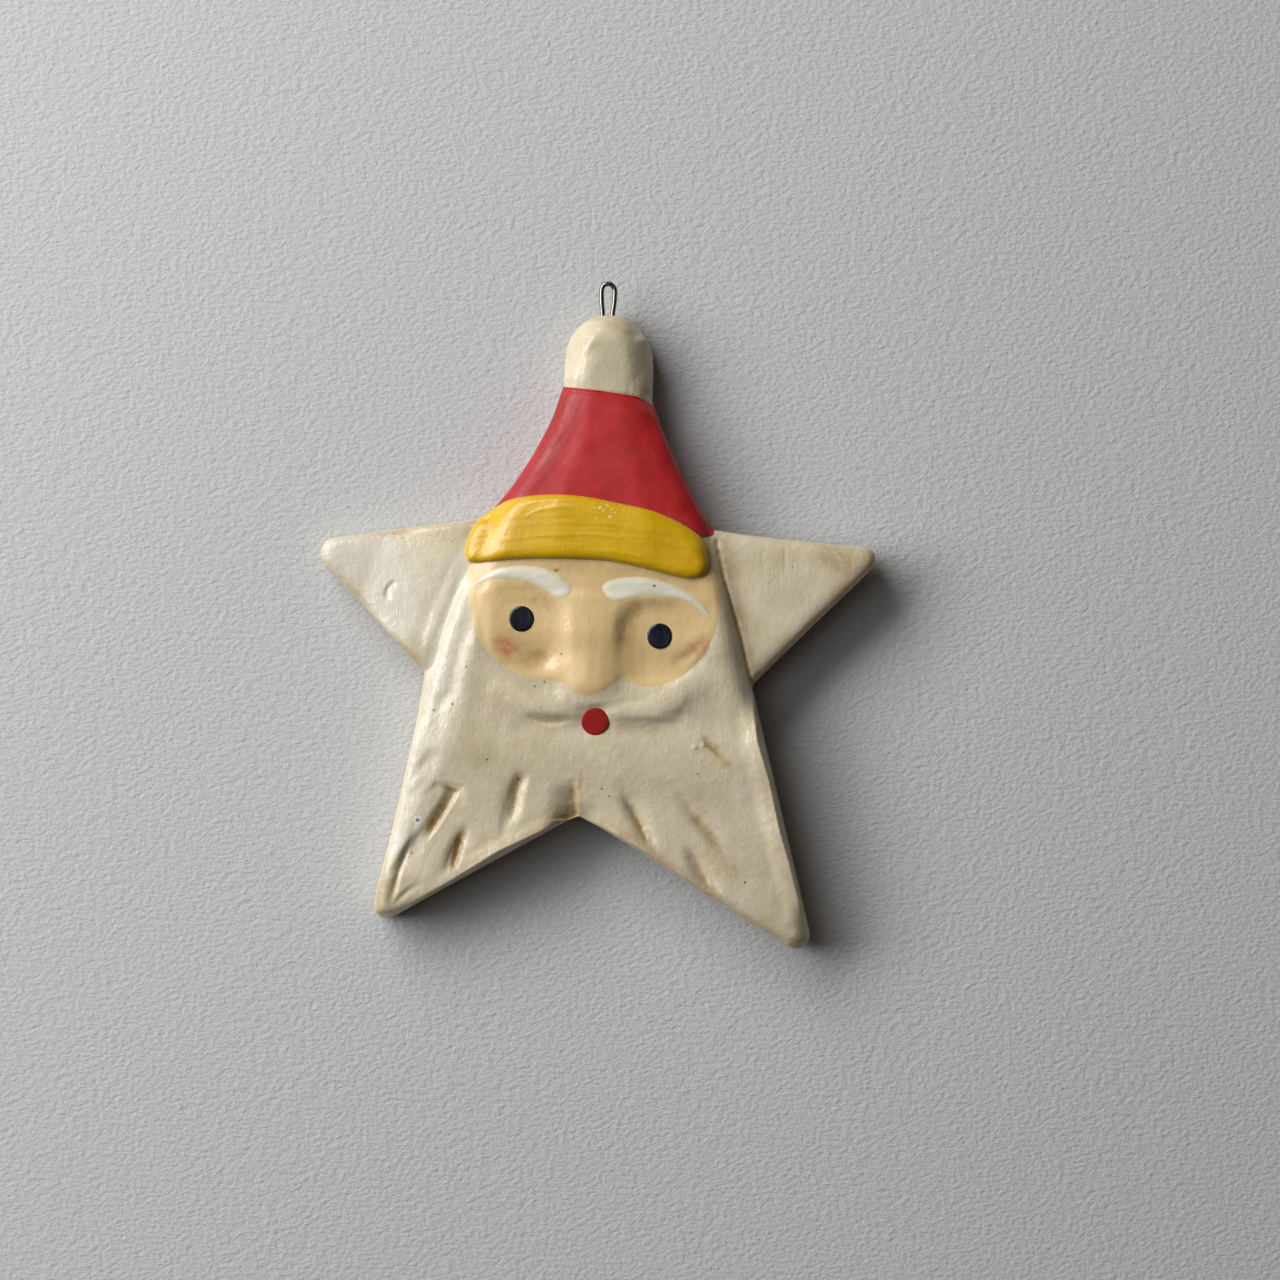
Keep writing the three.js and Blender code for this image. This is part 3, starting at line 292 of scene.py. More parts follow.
# Brown wash that lies outside the cuts: line, reach and strength.
STAINS = [
    ([(18.6, -40.4), (20.8, -47.0), (22.4, -52.0)], 2.4, 0.28),
    ([(19.8, -40.6), (21.0, -45.0)], 2.2, 0.28),
    ([(22.4, -52.0), (25.0, -62.0)], 1.4, 0.3),
    ([(36.4, -41.8), (39.4, -43.0)], 2.6, 0.38),
    ([(38.6, -43.0), (38.4, -48.0)], 2.0, 0.25),
    ([(25.6, -62.4), (31.9, -55.6), (37.0, -50.4), (42.6, -44.2)], 1.5, 0.28),
    ([(40.8, -41.2), (43.2, -42.4)], 1.7, 0.3),
    ([(-41.8, -42.4), (-37.0, -41.4), (-32.0, -40.7)], 1.2, 0.5),
    ([(-42.2, -45.8), (-43.6, -44.2), (-42.0, -42.6)], 1.5, 0.46),
    ([(-32.0, -40.4), (-21.0, -38.6)], 1.2, 0.3),
    ([(-42.8, -46.8), (-36.4, -53.6), (-29.0, -61.2)], 1.3, 0.46),
    ([(-23.4, -82.8), (-26.0, -87.6)], 0.5, 1.0),
    ([(-24.0, -84.0), (-26.2, -87.8)], 1.2, 0.4),
    ([(-23.9, -80.9), (-21.9, -81.2)], 0.4, 0.7),
    ([(-28.2, -90.6), (-30.0, -93.8)], 0.8, 0.3),
    ([(-21.4, -89.4), (-21.9, -93.6)], 0.6, 0.95),
    ([(-20.8, -88.4), (-21.6, -92.0)], 1.1, 0.4),
    ([(-11.9, -79.4), (-12.9, -84.6)], 1.0, 0.4),
    ([(-3.8, -81.6), (-3.6, -84.2), (-6.2, -85.4)], 1.6, 0.34),
    ([(-2.9, -80.4), (-2.5, -84.8)], 0.7, 0.6),
    ([(-5.0, -85.8), (-14.6, -90.2), (-22.0, -94.4)], 0.9, 0.28),
    ([(-17.0, -68.0), (-14.0, -78.0)], 6.0, 0.1),
    ([(-33.0, -98.6), (-33.4, -101.8)], 2.4, 0.34),
    ([(6.2, -83.2), (8.9, -88.4)], 0.75, 0.6),
    ([(2.0, -85.8), (9.6, -90.4), (22.4, -98.6), (30.0, -103.6)], 1.0, 0.36),
    ([(16.6, -84.8), (19.8, -88.4)], 1.1, 0.55),
    ([(21.0, -89.6), (22.8, -93.0)], 1.2, 0.25),
    ([(18.4, -94.0), (19.6, -96.6)], 0.9, 0.3),
    ([(19.0, -73.2), (21.4, -75.8)], 0.9, 0.5),
    ([(32.8, -104.2), (33.6, -104.6)], 1.3, 0.8),
    ([(33.8, -103.2), (30.4, -91.0), (27.4, -79.0)], 0.9, 0.2),
    ([(0.6, -5.6), (3.2, -6.8)], 1.7, 0.35),
    ([(6.6, -12.6), (6.8, -16.6)], 0.8, 0.35),
    ([(4.4, -70.9), (10.0, -70.8)], 1.2, 0.2),
    ([(-16.4, -66.8), (-13.0, -68.6)], 1.6, 0.16),
    ([(-20.4, -38.4), (-21.6, -40.4)], 0.8, 0.4),
]

# Painted sheen: where the cream is painted paler and whiter down the left arm and flank, which face the lamp, in place
# of the varnish's sheen: line, reach and strength.
PAINTED_SHEEN = [
    ([(-41.0, -43.5), (-35.0, -46.0), (-32.0, -53.0)], 5.6, 0.9),
    ([(-22.5, -45.0), (-24.5, -60.0), (-26.0, -72.0), (-30.4, -90.0)], 3.6, 0.5),
]

# Single pinholes and chips big enough to tell apart: place, radius and colour. The last ones lie on top.
PINHOLES = [
    ((-27.8, -86.3), 0.62, "#efe9dc"), ((-27.8, -86.3), 0.36, "#77736c"),
    ((-22.7, -67.6), 0.2, "#5c4a38"), ((-25.7, -68.7), 0.2, "#6b4c30"), ((-20.7, -61.6), 0.16, "#5c4a38"),
    ((1.5, -80.4), 0.2, "#4c3c2e"), ((-8.2, -63.6), 0.16, "#4c3c2e"), ((-9.7, -64.4), 0.16, "#4c3c2e"),
    ((2.7, -81.6), 0.14, "#5c4a38"), ((-28.5, -91.6), 0.16, "#5a2c1c"), ((16.7, -77.6), 0.16, "#5c4a38"),
    ((-11.9, -79.3), 0.18, "#4c3420"), ((-17.0, -76.3), 0.14, "#5c4a38"), ((24.8, -94.7), 0.18, "#5c4a38"),
]

# The edges of the painted areas
HAT_TOP = [(-14.0, -16.3), (-6.6, -16.4), (-0.6, -16.9), (5.1, -17.6), (7.4, -18.7), (9.6, -19.9)]
HAT_FOOT = [(-24.0, -20.0), (-18.7, -36.4), (-18.2, -37.5), (-14.0, -38.4), (14.0, -40.4), (18.0, -39.4), (18.3, -37.8), (20.0, -20.0)]
BAND = [
    (-20.6, -44.9), (-17.5, -44.75), (-14.2, -44.35), (-9.3, -44.05), (-2.8, -43.95), (2.1, -44.15),
    (7.0, -45.0), (12.0, -46.15), (14.6, -46.5), (16.6, -46.0), (17.6, -44.3), (17.4, -42.0), (16.1, -39.8),
    (12.7, -37.6), (8.4, -35.9), (3.5, -34.9), (-1.1, -34.1), (-5.7, -33.7), (-10.3, -33.9), (-14.5, -34.7),
    (-17.2, -36.2), (-19.5, -38.1), (-21.0, -40.8), (-21.5, -43.3),
]
FACE = [
    (19.3, -48.0), (19.4, -51.6), (18.6, -55.4), (16.9, -58.9), (14.1, -61.8), (10.6, -63.6), (7.4, -63.9),
    (5.3, -63.2), (4.3, -62.5), (2.5, -63.8), (0.6, -65.1), (-1.2, -65.6), (-3.2, -65.2), (-4.8, -64.0),
    (-6.8, -63.4), (-9.8, -63.1), (-13.0, -62.2), (-16.4, -60.2), (-18.9, -57.0), (-20.2, -53.0),
    (-20.9, -48.4), (-20.9, -44.6), (-19.6, -42.6), (-10.0, -42.0), (2.0, -42.2), (12.0, -44.0),
    (16.4, -44.6), (18.6, -45.6),
]
BROW_LEFT = [
    (-20.2, -48.9), (-19.2, -47.5), (-17.4, -46.3), (-15.2, -45.5), (-12.6, -45.15), (-9.6, -45.3),
    (-7.2, -46.0), (-5.2, -47.3), (-4.2, -48.4), (-4.3, -49.4), (-5.2, -50.1), (-6.3, -50.3), (-7.8, -49.5),
    (-10.8, -48.1), (-14.1, -47.5), (-17.1, -47.6), (-19.0, -48.4),
]
BROW_RIGHT = [
    (0.5, -48.4), (1.2, -47.4), (3.2, -46.7), (7.1, -46.35), (10.4, -47.0), (13.7, -48.3), (16.2, -49.9),
    (17.6, -51.3), (18.2, -52.7), (17.1, -52.2), (14.8, -50.6), (11.5, -49.7), (7.6, -49.4), (4.6, -50.3),
    (2.8, -50.5), (1.3, -49.7),
]


# Helpers for meshes


def new_piece(name, bm, material, replaced, smooth=True):
    """A finished piece from a bmesh, riding on the body and standing for its CAD nodes."""
    mesh = bpy.data.meshes.new(name)
    bm.to_mesh(mesh)
    for face in mesh.polygons:
        face.use_smooth = smooth
    obj = bpy.data.objects.new(name, mesh)
    bpy.context.scene.collection.objects.link(obj)
    mesh.materials.append(material)
    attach(obj, "root")
    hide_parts(*replaced)
    return obj


def merged_copy(node):
    bm = bmesh.new()
    bm.from_mesh(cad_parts[node].data)
    bmesh.ops.remove_doubles(bm, verts=bm.verts, dist=0.002 * MM)
    return bm


def with_modifier(bm, kind, **settings):
    """The bmesh with one modifier applied."""
    mesh = bpy.data.meshes.new("work")
    bm.to_mesh(mesh)
    bm.free()
    obj = bpy.data.objects.new("work", mesh)
    bpy.context.scene.collection.objects.link(obj)
    modifier = obj.modifiers.new("work", kind)
    for key, value in settings.items():
        setattr(modifier, key, value)
    graph = bpy.context.evaluated_depsgraph_get()
    made = bmesh.new()
    made.from_mesh(obj.evaluated_get(graph).to_mesh())
    obj.evaluated_get(graph).to_mesh_clear()
    bpy.data.objects.remove(obj)
    bpy.data.meshes.remove(mesh)
    return made


def places_of(bm):
    """The vertices as an array, in millimetres."""
    return np.array([v.co[:] for v in bm.verts]) / MM


def move_to(bm, places):
    for vertex, place in zip(bm.verts, places * MM):
        vertex.co = place
    bm.normal_update()


def spread_over(bm, values, times):
    """Values at the vertices, blended with their neighbours' so many times."""
    edges = np.array([[v.index for v in e.verts] for e in bm.edges])
    count = np.bincount(edges.ravel(), minlength=len(values))
    for _ in range(times):
        around = np.bincount(edges[:, 0], values[edges[:, 1]], len(values))
        around += np.bincount(edges[:, 1], values[edges[:, 0]], len(values))
        values = 0.5 * values + 0.5 * around / np.maximum(count, 1)
    return values


def write_attribute(bm, name, values):
    layer = bm.verts.layers.float.get(name) or bm.verts.layers.float.new(name)
    for vertex, value in zip(bm.verts, values):
        vertex[layer] = value


def lumps(places, size, seed):
    """Smooth noise from about -1 to 1, with lumps of that size in millimetres."""
    offset = Vector((seed, seed * 1.7, -seed))
    return np.array([noise.noise(Vector(p) / size + offset) for p in places])


def stain_shade_and_sheen(x, z, table):
    """How much colour a table of lines lays at each place: the brown antiquing, the blush, painted shade and painted
    sheen.
    """
    left = np.ones(x.shape)
    for line, reach, strength in table:
        away, _, _ = nearest(line, x, z)
        left *= 1 - strength * ease(1.25 - away / reach)
    return 1 - left


def sectioned(x, z, sections):
    """The level between the two nearest sections at each place."""
    rows = np.array([np.interp(x, *np.array(places).T) for _, places in sections])
    row = np.interp(-z, [-level for level, _ in sections], np.arange(len(rows)))
    first = np.minimum(row.astype(int), len(rows) - 2)
    each = np.arange(len(x))
    return rows[first, each] + (row - first) * (rows[first + 1, each] - rows[first, each])


def pulled(x, z):
    """How far the real outline lies from the frame's at each place."""
    total = np.full(x.shape, 0.12)
    shift = np.zeros((2, len(x)))
    for (px, pz), (dx, dz) in PULLS:
        share = np.exp(-((x - px) ** 2 + (z - pz) ** 2) / 18)
        total += share
        shift += [share * dx, share * dz]
    return shift / total


def trim(bm, line, keep_above):
    """Cuts the mesh off along a line that runs to the right, and keeps what is above or below it."""
    xs, zs = np.array(line).T

    def shift(sign):
        for vertex in bm.verts:
            vertex.co.z += sign * np.interp(vertex.co.x / MM, xs, zs) * MM

    shift(-1)
    bmesh.ops.bisect_plane(
        bm,
        geom=bm.verts[:] + bm.edges[:] + bm.faces[:],
        dist=1e-7,
        plane_co=(0, 0, 0),
        plane_no=(0, 0, 1),
        clear_inner=keep_above,
        clear_outer=not keep_above,
    )
    shift(1)


def inside(outline, x, z):
    """Which places lie inside a closed outline."""
    crossed = np.zeros(x.shape, bool)
    for (ax, az), (bx, bz) in zip(outline, np.roll(outline, -1, 0)):
        if az != bz:
            crossed ^= ((az > z) != (bz > z)) & (x < ax + (z - az) * (bx - ax) / (bz - az))
    return crossed


def film(outline, step, height, ground, root=0.3, level=False):
    """A closed piece laid on the ground inside an outline. height gives how far it stands up at each
    place, from its distance to the outline; root is how far it reaches into the ground. A level one is
    as flat as a drop of thick paint."""
    outline = smooth_line(outline, step, closed=True)
    low, high = outline.min(0) - 2 * step, outline.max(0) + 2 * step
    across = [int(n) for n in np.ceil((high - low) / step)]
    bm = bmesh.new()
    bmesh.ops.create_grid(bm, x_segments=across[0], y_segments=across[1], size=0.5)
    wide, tall = (high - low) * MM
    for vertex in bm.verts:
        u, v, _ = vertex.co
        vertex.co = (low[0] * MM + (u + 0.5) * wide, 0, low[1] * MM + (v + 0.5) * tall)
    x, _, z = places_of(bm).T
    # the grid's squares are pulled onto the outline, and those past it are dropped
    away, along, _ = nearest(outline, x, z, closed=True)
    within = inside(outline, x, z)
    kept = [f for f in bm.faces if sum(within[v.index] for v in f.verts) >= 2]
    rim = {v.index for f in kept for v in f.verts if not within[v.index]}
    rim |= set(np.flatnonzero(within & (away < step * 0.45)))
    loop = np.vstack([outline, outline[:1]])
    far = np.concatenate([[0], np.cumsum(np.linalg.norm(np.diff(loop, axis=0), axis=1))])
    for i, vertex in enumerate(bm.verts):
        if i in rim:
            vertex.co.x = np.interp(along[i] * far[-1], far, loop[:, 0]) * MM
            vertex.co.z = np.interp(along[i] * far[-1], far, loop[:, 1]) * MM
    kept = set(kept)
    bmesh.ops.delete(bm, geom=[f for f in bm.faces if f not in kept], context="FACES")
    bmesh.ops.dissolve_degenerate(bm, dist=0.01 * MM, edges=bm.edges)
    bm.verts.index_update()
    bm.normal_update()
    if sum(f.normal.y for f in bm.faces) > 0:
        bmesh.ops.reverse_faces(bm, faces=bm.faces)
    flat = places_of(bm)
    away, _, _ = nearest(outline, flat[:, 0], flat[:, 2], closed=True)
    raised = height(away, flat[:, 0], flat[:, 2])
    hits = [ground.ray_cast(Vector((v.co.x, -0.03, v.co.z)), Vector((0, 1, 0)))[0] for v in bm.verts]
    levels = np.array([0 if h is None else h.y for h in hits])
    found = levels < -2 * MM
    if not found.any():
        raise RuntimeError("the outline lies beside the casting")
    # past the casting's edge a coat goes on level
    for i in np.flatnonzero(~found):
        away = np.hypot(*(flat[found][:, [0, 2]] - flat[i][[0, 2]]).T)
        levels[i] = np.average(levels[found], weights=np.exp(-((away - away.min()) / 0.5)))
    brink = np.minimum(1, 3 * spread_over(bm, (~found).astype(float), 6))
    levels = levels + brink * (spread_over(bm, levels, 16) - levels)
    tops = levels
    if level:
        terms = np.stack([flat[:, 0], flat[:, 2], np.ones(len(flat))], 1)
        tops = terms @ np.linalg.lstsq(terms, levels, rcond=None)[0]
        tops += 0.7 * min(0, (levels - tops).min())
    for vertex, top_level, rise in zip(bm.verts, tops, raised):
        vertex.co.y = top_level - rise * MM
    rim = [e for e in bm.edges if e.is_boundary]
    top = bm.verts[:]
    under = bmesh.ops.duplicate(bm, geom=top + bm.edges[:] + bm.faces[:])
    twin = under["vert_map"]
    for edge in rim:
        a, b = edge.verts
        bm.faces.new([a, b, twin[b], twin[a]])
        edge.smooth = False
    bmesh.ops.reverse_faces(bm, faces=[g for g in under["geom"] if isinstance(g, bmesh.types.BMFace)])
    for vertex, ground_level in zip(top, levels):
        twin[vertex].co.y = ground_level + root * MM
    bmesh.ops.recalc_face_normals(bm, faces=bm.faces)
    bm.verts.index_update()
    return bm


# Helpers for materials


def linear(code):
    """An sRGB hex colour as linear RGBA."""
    parts = [int(code[i : i + 2], 16) / 255 for i in (1, 3, 5)]
    return [p / 12.92 if p <= 0.04045 else ((p + 0.055) / 1.055) ** 2.4 for p in parts] + [1.0]


def add(tree, kind, inputs=None, **settings):
    """One node with its settings, its sockets' values and the links into them."""
    node = tree.nodes.new(kind)
    for key, value in settings.items():
        setattr(node, key, value)
    for key, value in (inputs or {}).items():
        socket = node.inputs[key]
        if isinstance(value, bpy.types.NodeSocket):
            tree.links.new(value, socket)
        else:
            socket.default_value = value
    return node


def new_material(name):
    """An empty material: its tree, the shader, and Object coordinates."""
    material = bpy.data.materials.new(name)
    material.use_nodes = True
    tree = material.node_tree
    tree.nodes.clear()
    shader = tree.nodes.new("ShaderNodeBsdfPrincipled")
    output = tree.nodes.new("ShaderNodeOutputMaterial")
    tree.links.new(shader.outputs[0], output.inputs["Surface"])
    place = tree.nodes.new("ShaderNodeTexCoord").outputs["Object"]
    return material, tree, shader, place


def mixed(tree, factor, first, second, blend="MIX"):
    node = add(tree, "ShaderNodeMix", data_type="RGBA", blend_type=blend)
    for socket, value in ((node.inputs[0], factor), (node.inputs[6], first), (node.inputs[7], second)):
        if isinstance(value, bpy.types.NodeSocket):
            tree.links.new(value, socket)
        else:
            socket.default_value = value
    return node.outputs[2]


def per_mm(size):
    """The scale of a pattern whose features are that many millimetres across."""
    return 1 / (size * MM)


def brush_marks(tree, place, turn, length, width):
    """Streaks of that length and width in millimetres, turned in the plane of the front."""
    stretched = add(
        tree,
        "ShaderNodeMapping",
        {"Vector": place, "Rotation": (0, turn, 0), "Scale": (per_mm(width), per_mm(width), per_mm(length))},
    )
    return add(
        tree, "ShaderNodeTexNoise", {"Vector": stretched.outputs[0], "Scale": 1.0, "Detail": 3.0}
    ).outputs["Fac"]


def maths(tree, operation, first, second, clamped=False):
    return add(tree, "ShaderNodeMath", {0: first, 1: second}, operation=operation, use_clamp=clamped).outputs[0]


def spread(tree, value, low, high, least=0.0, most=1.0):
    """A value that runs from low to high, stretched to run from least to most."""
    return add(
        tree, "ShaderNodeMapRange",
        {"Value": value, "From Min": low, "From Max": high, "To Min": least, "To Max": most},
    ).outputs[0]


def noise_of(tree, place, size, detail=3.0):
    return add(tree, "ShaderNodeTexNoise", {"Vector": place, "Scale": per_mm(size), "Detail": detail}).outputs["Fac"]


def from_front(tree, place):
    """Object coordinates as seen from the front: x to the right and z up."""
    return add(tree, "ShaderNodeMapping", {"Vector": place, "Rotation": (-math.pi / 2, 0, 0)}).outputs[0]


def dab(tree, place, base, middle, radius, colour):
    """The base colour with a round spot on it. middle and radius are in millimetres."""
    seen = add(tree, "ShaderNodeVectorMath", {0: place, 1: (1, 0, 1)}, operation="MULTIPLY").outputs[0]
    away = add(
        tree, "ShaderNodeVectorMath", {0: seen, 1: (middle[0] * MM, 0, middle[1] * MM)}, operation="DISTANCE"
    ).outputs["Value"]
    ragged = maths(tree, "MULTIPLY", maths(tree, "SUBTRACT", noise_of(tree, place, 0.3, 1.0), 0.5), 1.6 * radius * MM)
    share = spread(tree, maths(tree, "ADD", away, ragged), (radius - 0.08) * MM, (radius + 0.06) * MM, 0.9, 0.0)
    return mixed(tree, share, base, linear(colour))


def paint_material(
    name, colour, second, wash_and_shade, marks, gloss, coat, pits=0.0, bump=0.25, wash_reach=0.9, streaky=0.15, varnish=0.24
):
    """Hand-brushed acrylic under a brushed-on varnish. marks is (turn, length, width) of the brush
    marks in millimetres; pits is the share of the casting's pinholes that show through, streaky how
    much the brush marks show in the colour, and varnish how rough the varnish is."""
    material, tree, shader, place = new_material(name)
    streaks = brush_marks(tree, place, *marks)
    cloud = noise_of(tree, place, 6, 5.0)
    grain = noise_of(tree, place, 0.9)
    patchy = noise_of(tree, place, 2.6)
    uneven = maths(tree, "ADD", cloud, maths(tree, "MULTIPLY", streaks, streaky))
    base = mixed(tree, spread(tree, uneven, 0.36 + streaky * 0.4, 0.66 + streaky * 0.6), linear(colour), linear(second))
    # the brown wash lies in specks, since the varnish took part of it off again, and painted shade carried by the same
    # attribute is specked the same way
    stain_and_shade = add(tree, "ShaderNodeAttribute", attribute_name="wash_and_shade").outputs["Fac"]
    left = maths(tree, "MULTIPLY", stain_and_shade, spread(tree, grain, 0.3, 0.7, 0.55, 1.25))
    base = mixed(tree, maths(tree, "MULTIPLY", left, wash_reach, clamped=True), base, linear(wash_and_shade))
    # brush marks show only here and there
    scratches = maths(tree, "MULTIPLY", streaks, spread(tree, patchy, 0.42, 0.62))
    relief = maths(tree, "ADD", maths(tree, "MULTIPLY", scratches, 0.6), maths(tree, "MULTIPLY", grain, 0.8))
    if pits:
        cells = add(
            tree, "ShaderNodeTexVoronoi", {"Vector": from_front(tree, place), "Scale": per_mm(2.6)},
            voronoi_dimensions="2D",
        )
        chosen = maths(tree, "GREATER_THAN", cells.outputs["Color"], 1 - pits)
        hole = maths(tree, "MULTIPLY", chosen, spread(tree, cells.outputs["Distance"], 0.02, 0.055, 1.0, 0.0))
        base = mixed(tree, maths(tree, "MULTIPLY", hole, 0.7), base, linear("#5a4c3c"))
        relief = maths(tree, "SUBTRACT", relief, hole)
    bumped = add(tree, "ShaderNodeBump", {"Height": relief, "Strength": bump, "Distance": 0.12 * MM}).outputs[0]
    tree.links.new(base, shader.inputs["Base Color"])
    tree.links.new(spread(tree, patchy, 0.3, 0.7, gloss - 0.1, gloss + 0.16), shader.inputs["Roughness"])
    tree.links.new(bumped, shader.inputs["Normal"])
    shader.inputs["IOR"].default_value = 1.5
    shader.inputs["Coat Weight"].default_value = coat
    shader.inputs["Coat Roughness"].default_value = varnish
    # the varnish stands in small beads, which break its highlights up
    beads = maths(tree, "ADD", relief, maths(tree, "MULTIPLY", patchy, 1.2))
    beaded = add(tree, "ShaderNodeBump", {"Height": beads, "Strength": bump, "Distance": 0.3 * MM}).outputs[0]
    tree.links.new(beaded, shader.inputs["Coat Normal"])
    return material


def recoloured(material, change):
    """The material with its base colour passed through change(tree, place, colour)."""
    tree = material.node_tree
    base = next(n for n in tree.nodes if n.type == "BSDF_PRINCIPLED").inputs["Base Color"]
    place = next(n for n in tree.nodes if n.type == "TEX_COORD").outputs["Object"]
    tree.links.new(change(tree, place, base.links[0].from_socket), base)
    return material


# What a user would change


class OrnamentSizes(bpy.types.PropertyGroup):
    grain: bpy.props.FloatProperty(
        name="Mesh Grain", description="Size of the casting's facets", default=0.3 * MM, unit="LENGTH", precision=5
    )
    coat: bpy.props.FloatProperty(
        name="Paint Thickness", description="Thickness of the red and flesh coats", default=0.08 * MM,
        unit="LENGTH", precision=5,
    )
    band: bpy.props.FloatProperty(
        name="Band Height", description="How far the hat band stands up", default=1.35 * MM, unit="LENGTH", precision=5
    )
    brow: bpy.props.FloatProperty(
        name="Brow Height", description="How far the brows stand up", default=0.26 * MM, unit="LENGTH", precision=5
    )
    eye: bpy.props.FloatProperty(
        name="Eye Diameter", description="Across each painted eye", default=4.1 * MM, unit="LENGTH", precision=5
    )
    mouth: bpy.props.FloatProperty(
        name="Mouth Diameter", description="Across the painted mouth", default=4.4 * MM, unit="LENGTH", precision=5
    )
    wire: bpy.props.FloatProperty(
        name="Wire Diameter", description="Thickness of the wire eye", default=0.8 * MM, unit="LENGTH", precision=5
    )


class OrnamentColours(bpy.types.PropertyGroup):
    cream: bpy.props.StringProperty(name="Cream", description="sRGB colour of the casting", default="#d6c9ab")
    wash_and_shade: bpy.props.StringProperty(name="Wash", description="sRGB colour of the antiquing", default="#98752c")
    red: bpy.props.StringProperty(name="Red", description="sRGB colour of the hat", default="#bc2122")
    yellow: bpy.props.StringProperty(name="Yellow", description="sRGB colour of the band", default="#dbb00c")
    flesh: bpy.props.StringProperty(name="Flesh", description="sRGB colour of the face", default="#dabb80")
    white: bpy.props.StringProperty(name="White", description="sRGB colour of the brows", default="#dfd9c0")
    black: bpy.props.StringProperty(name="Black", description="sRGB colour of the eyes", default="#030406")


made = {}  # what later pieces need of earlier ones


# The pieces


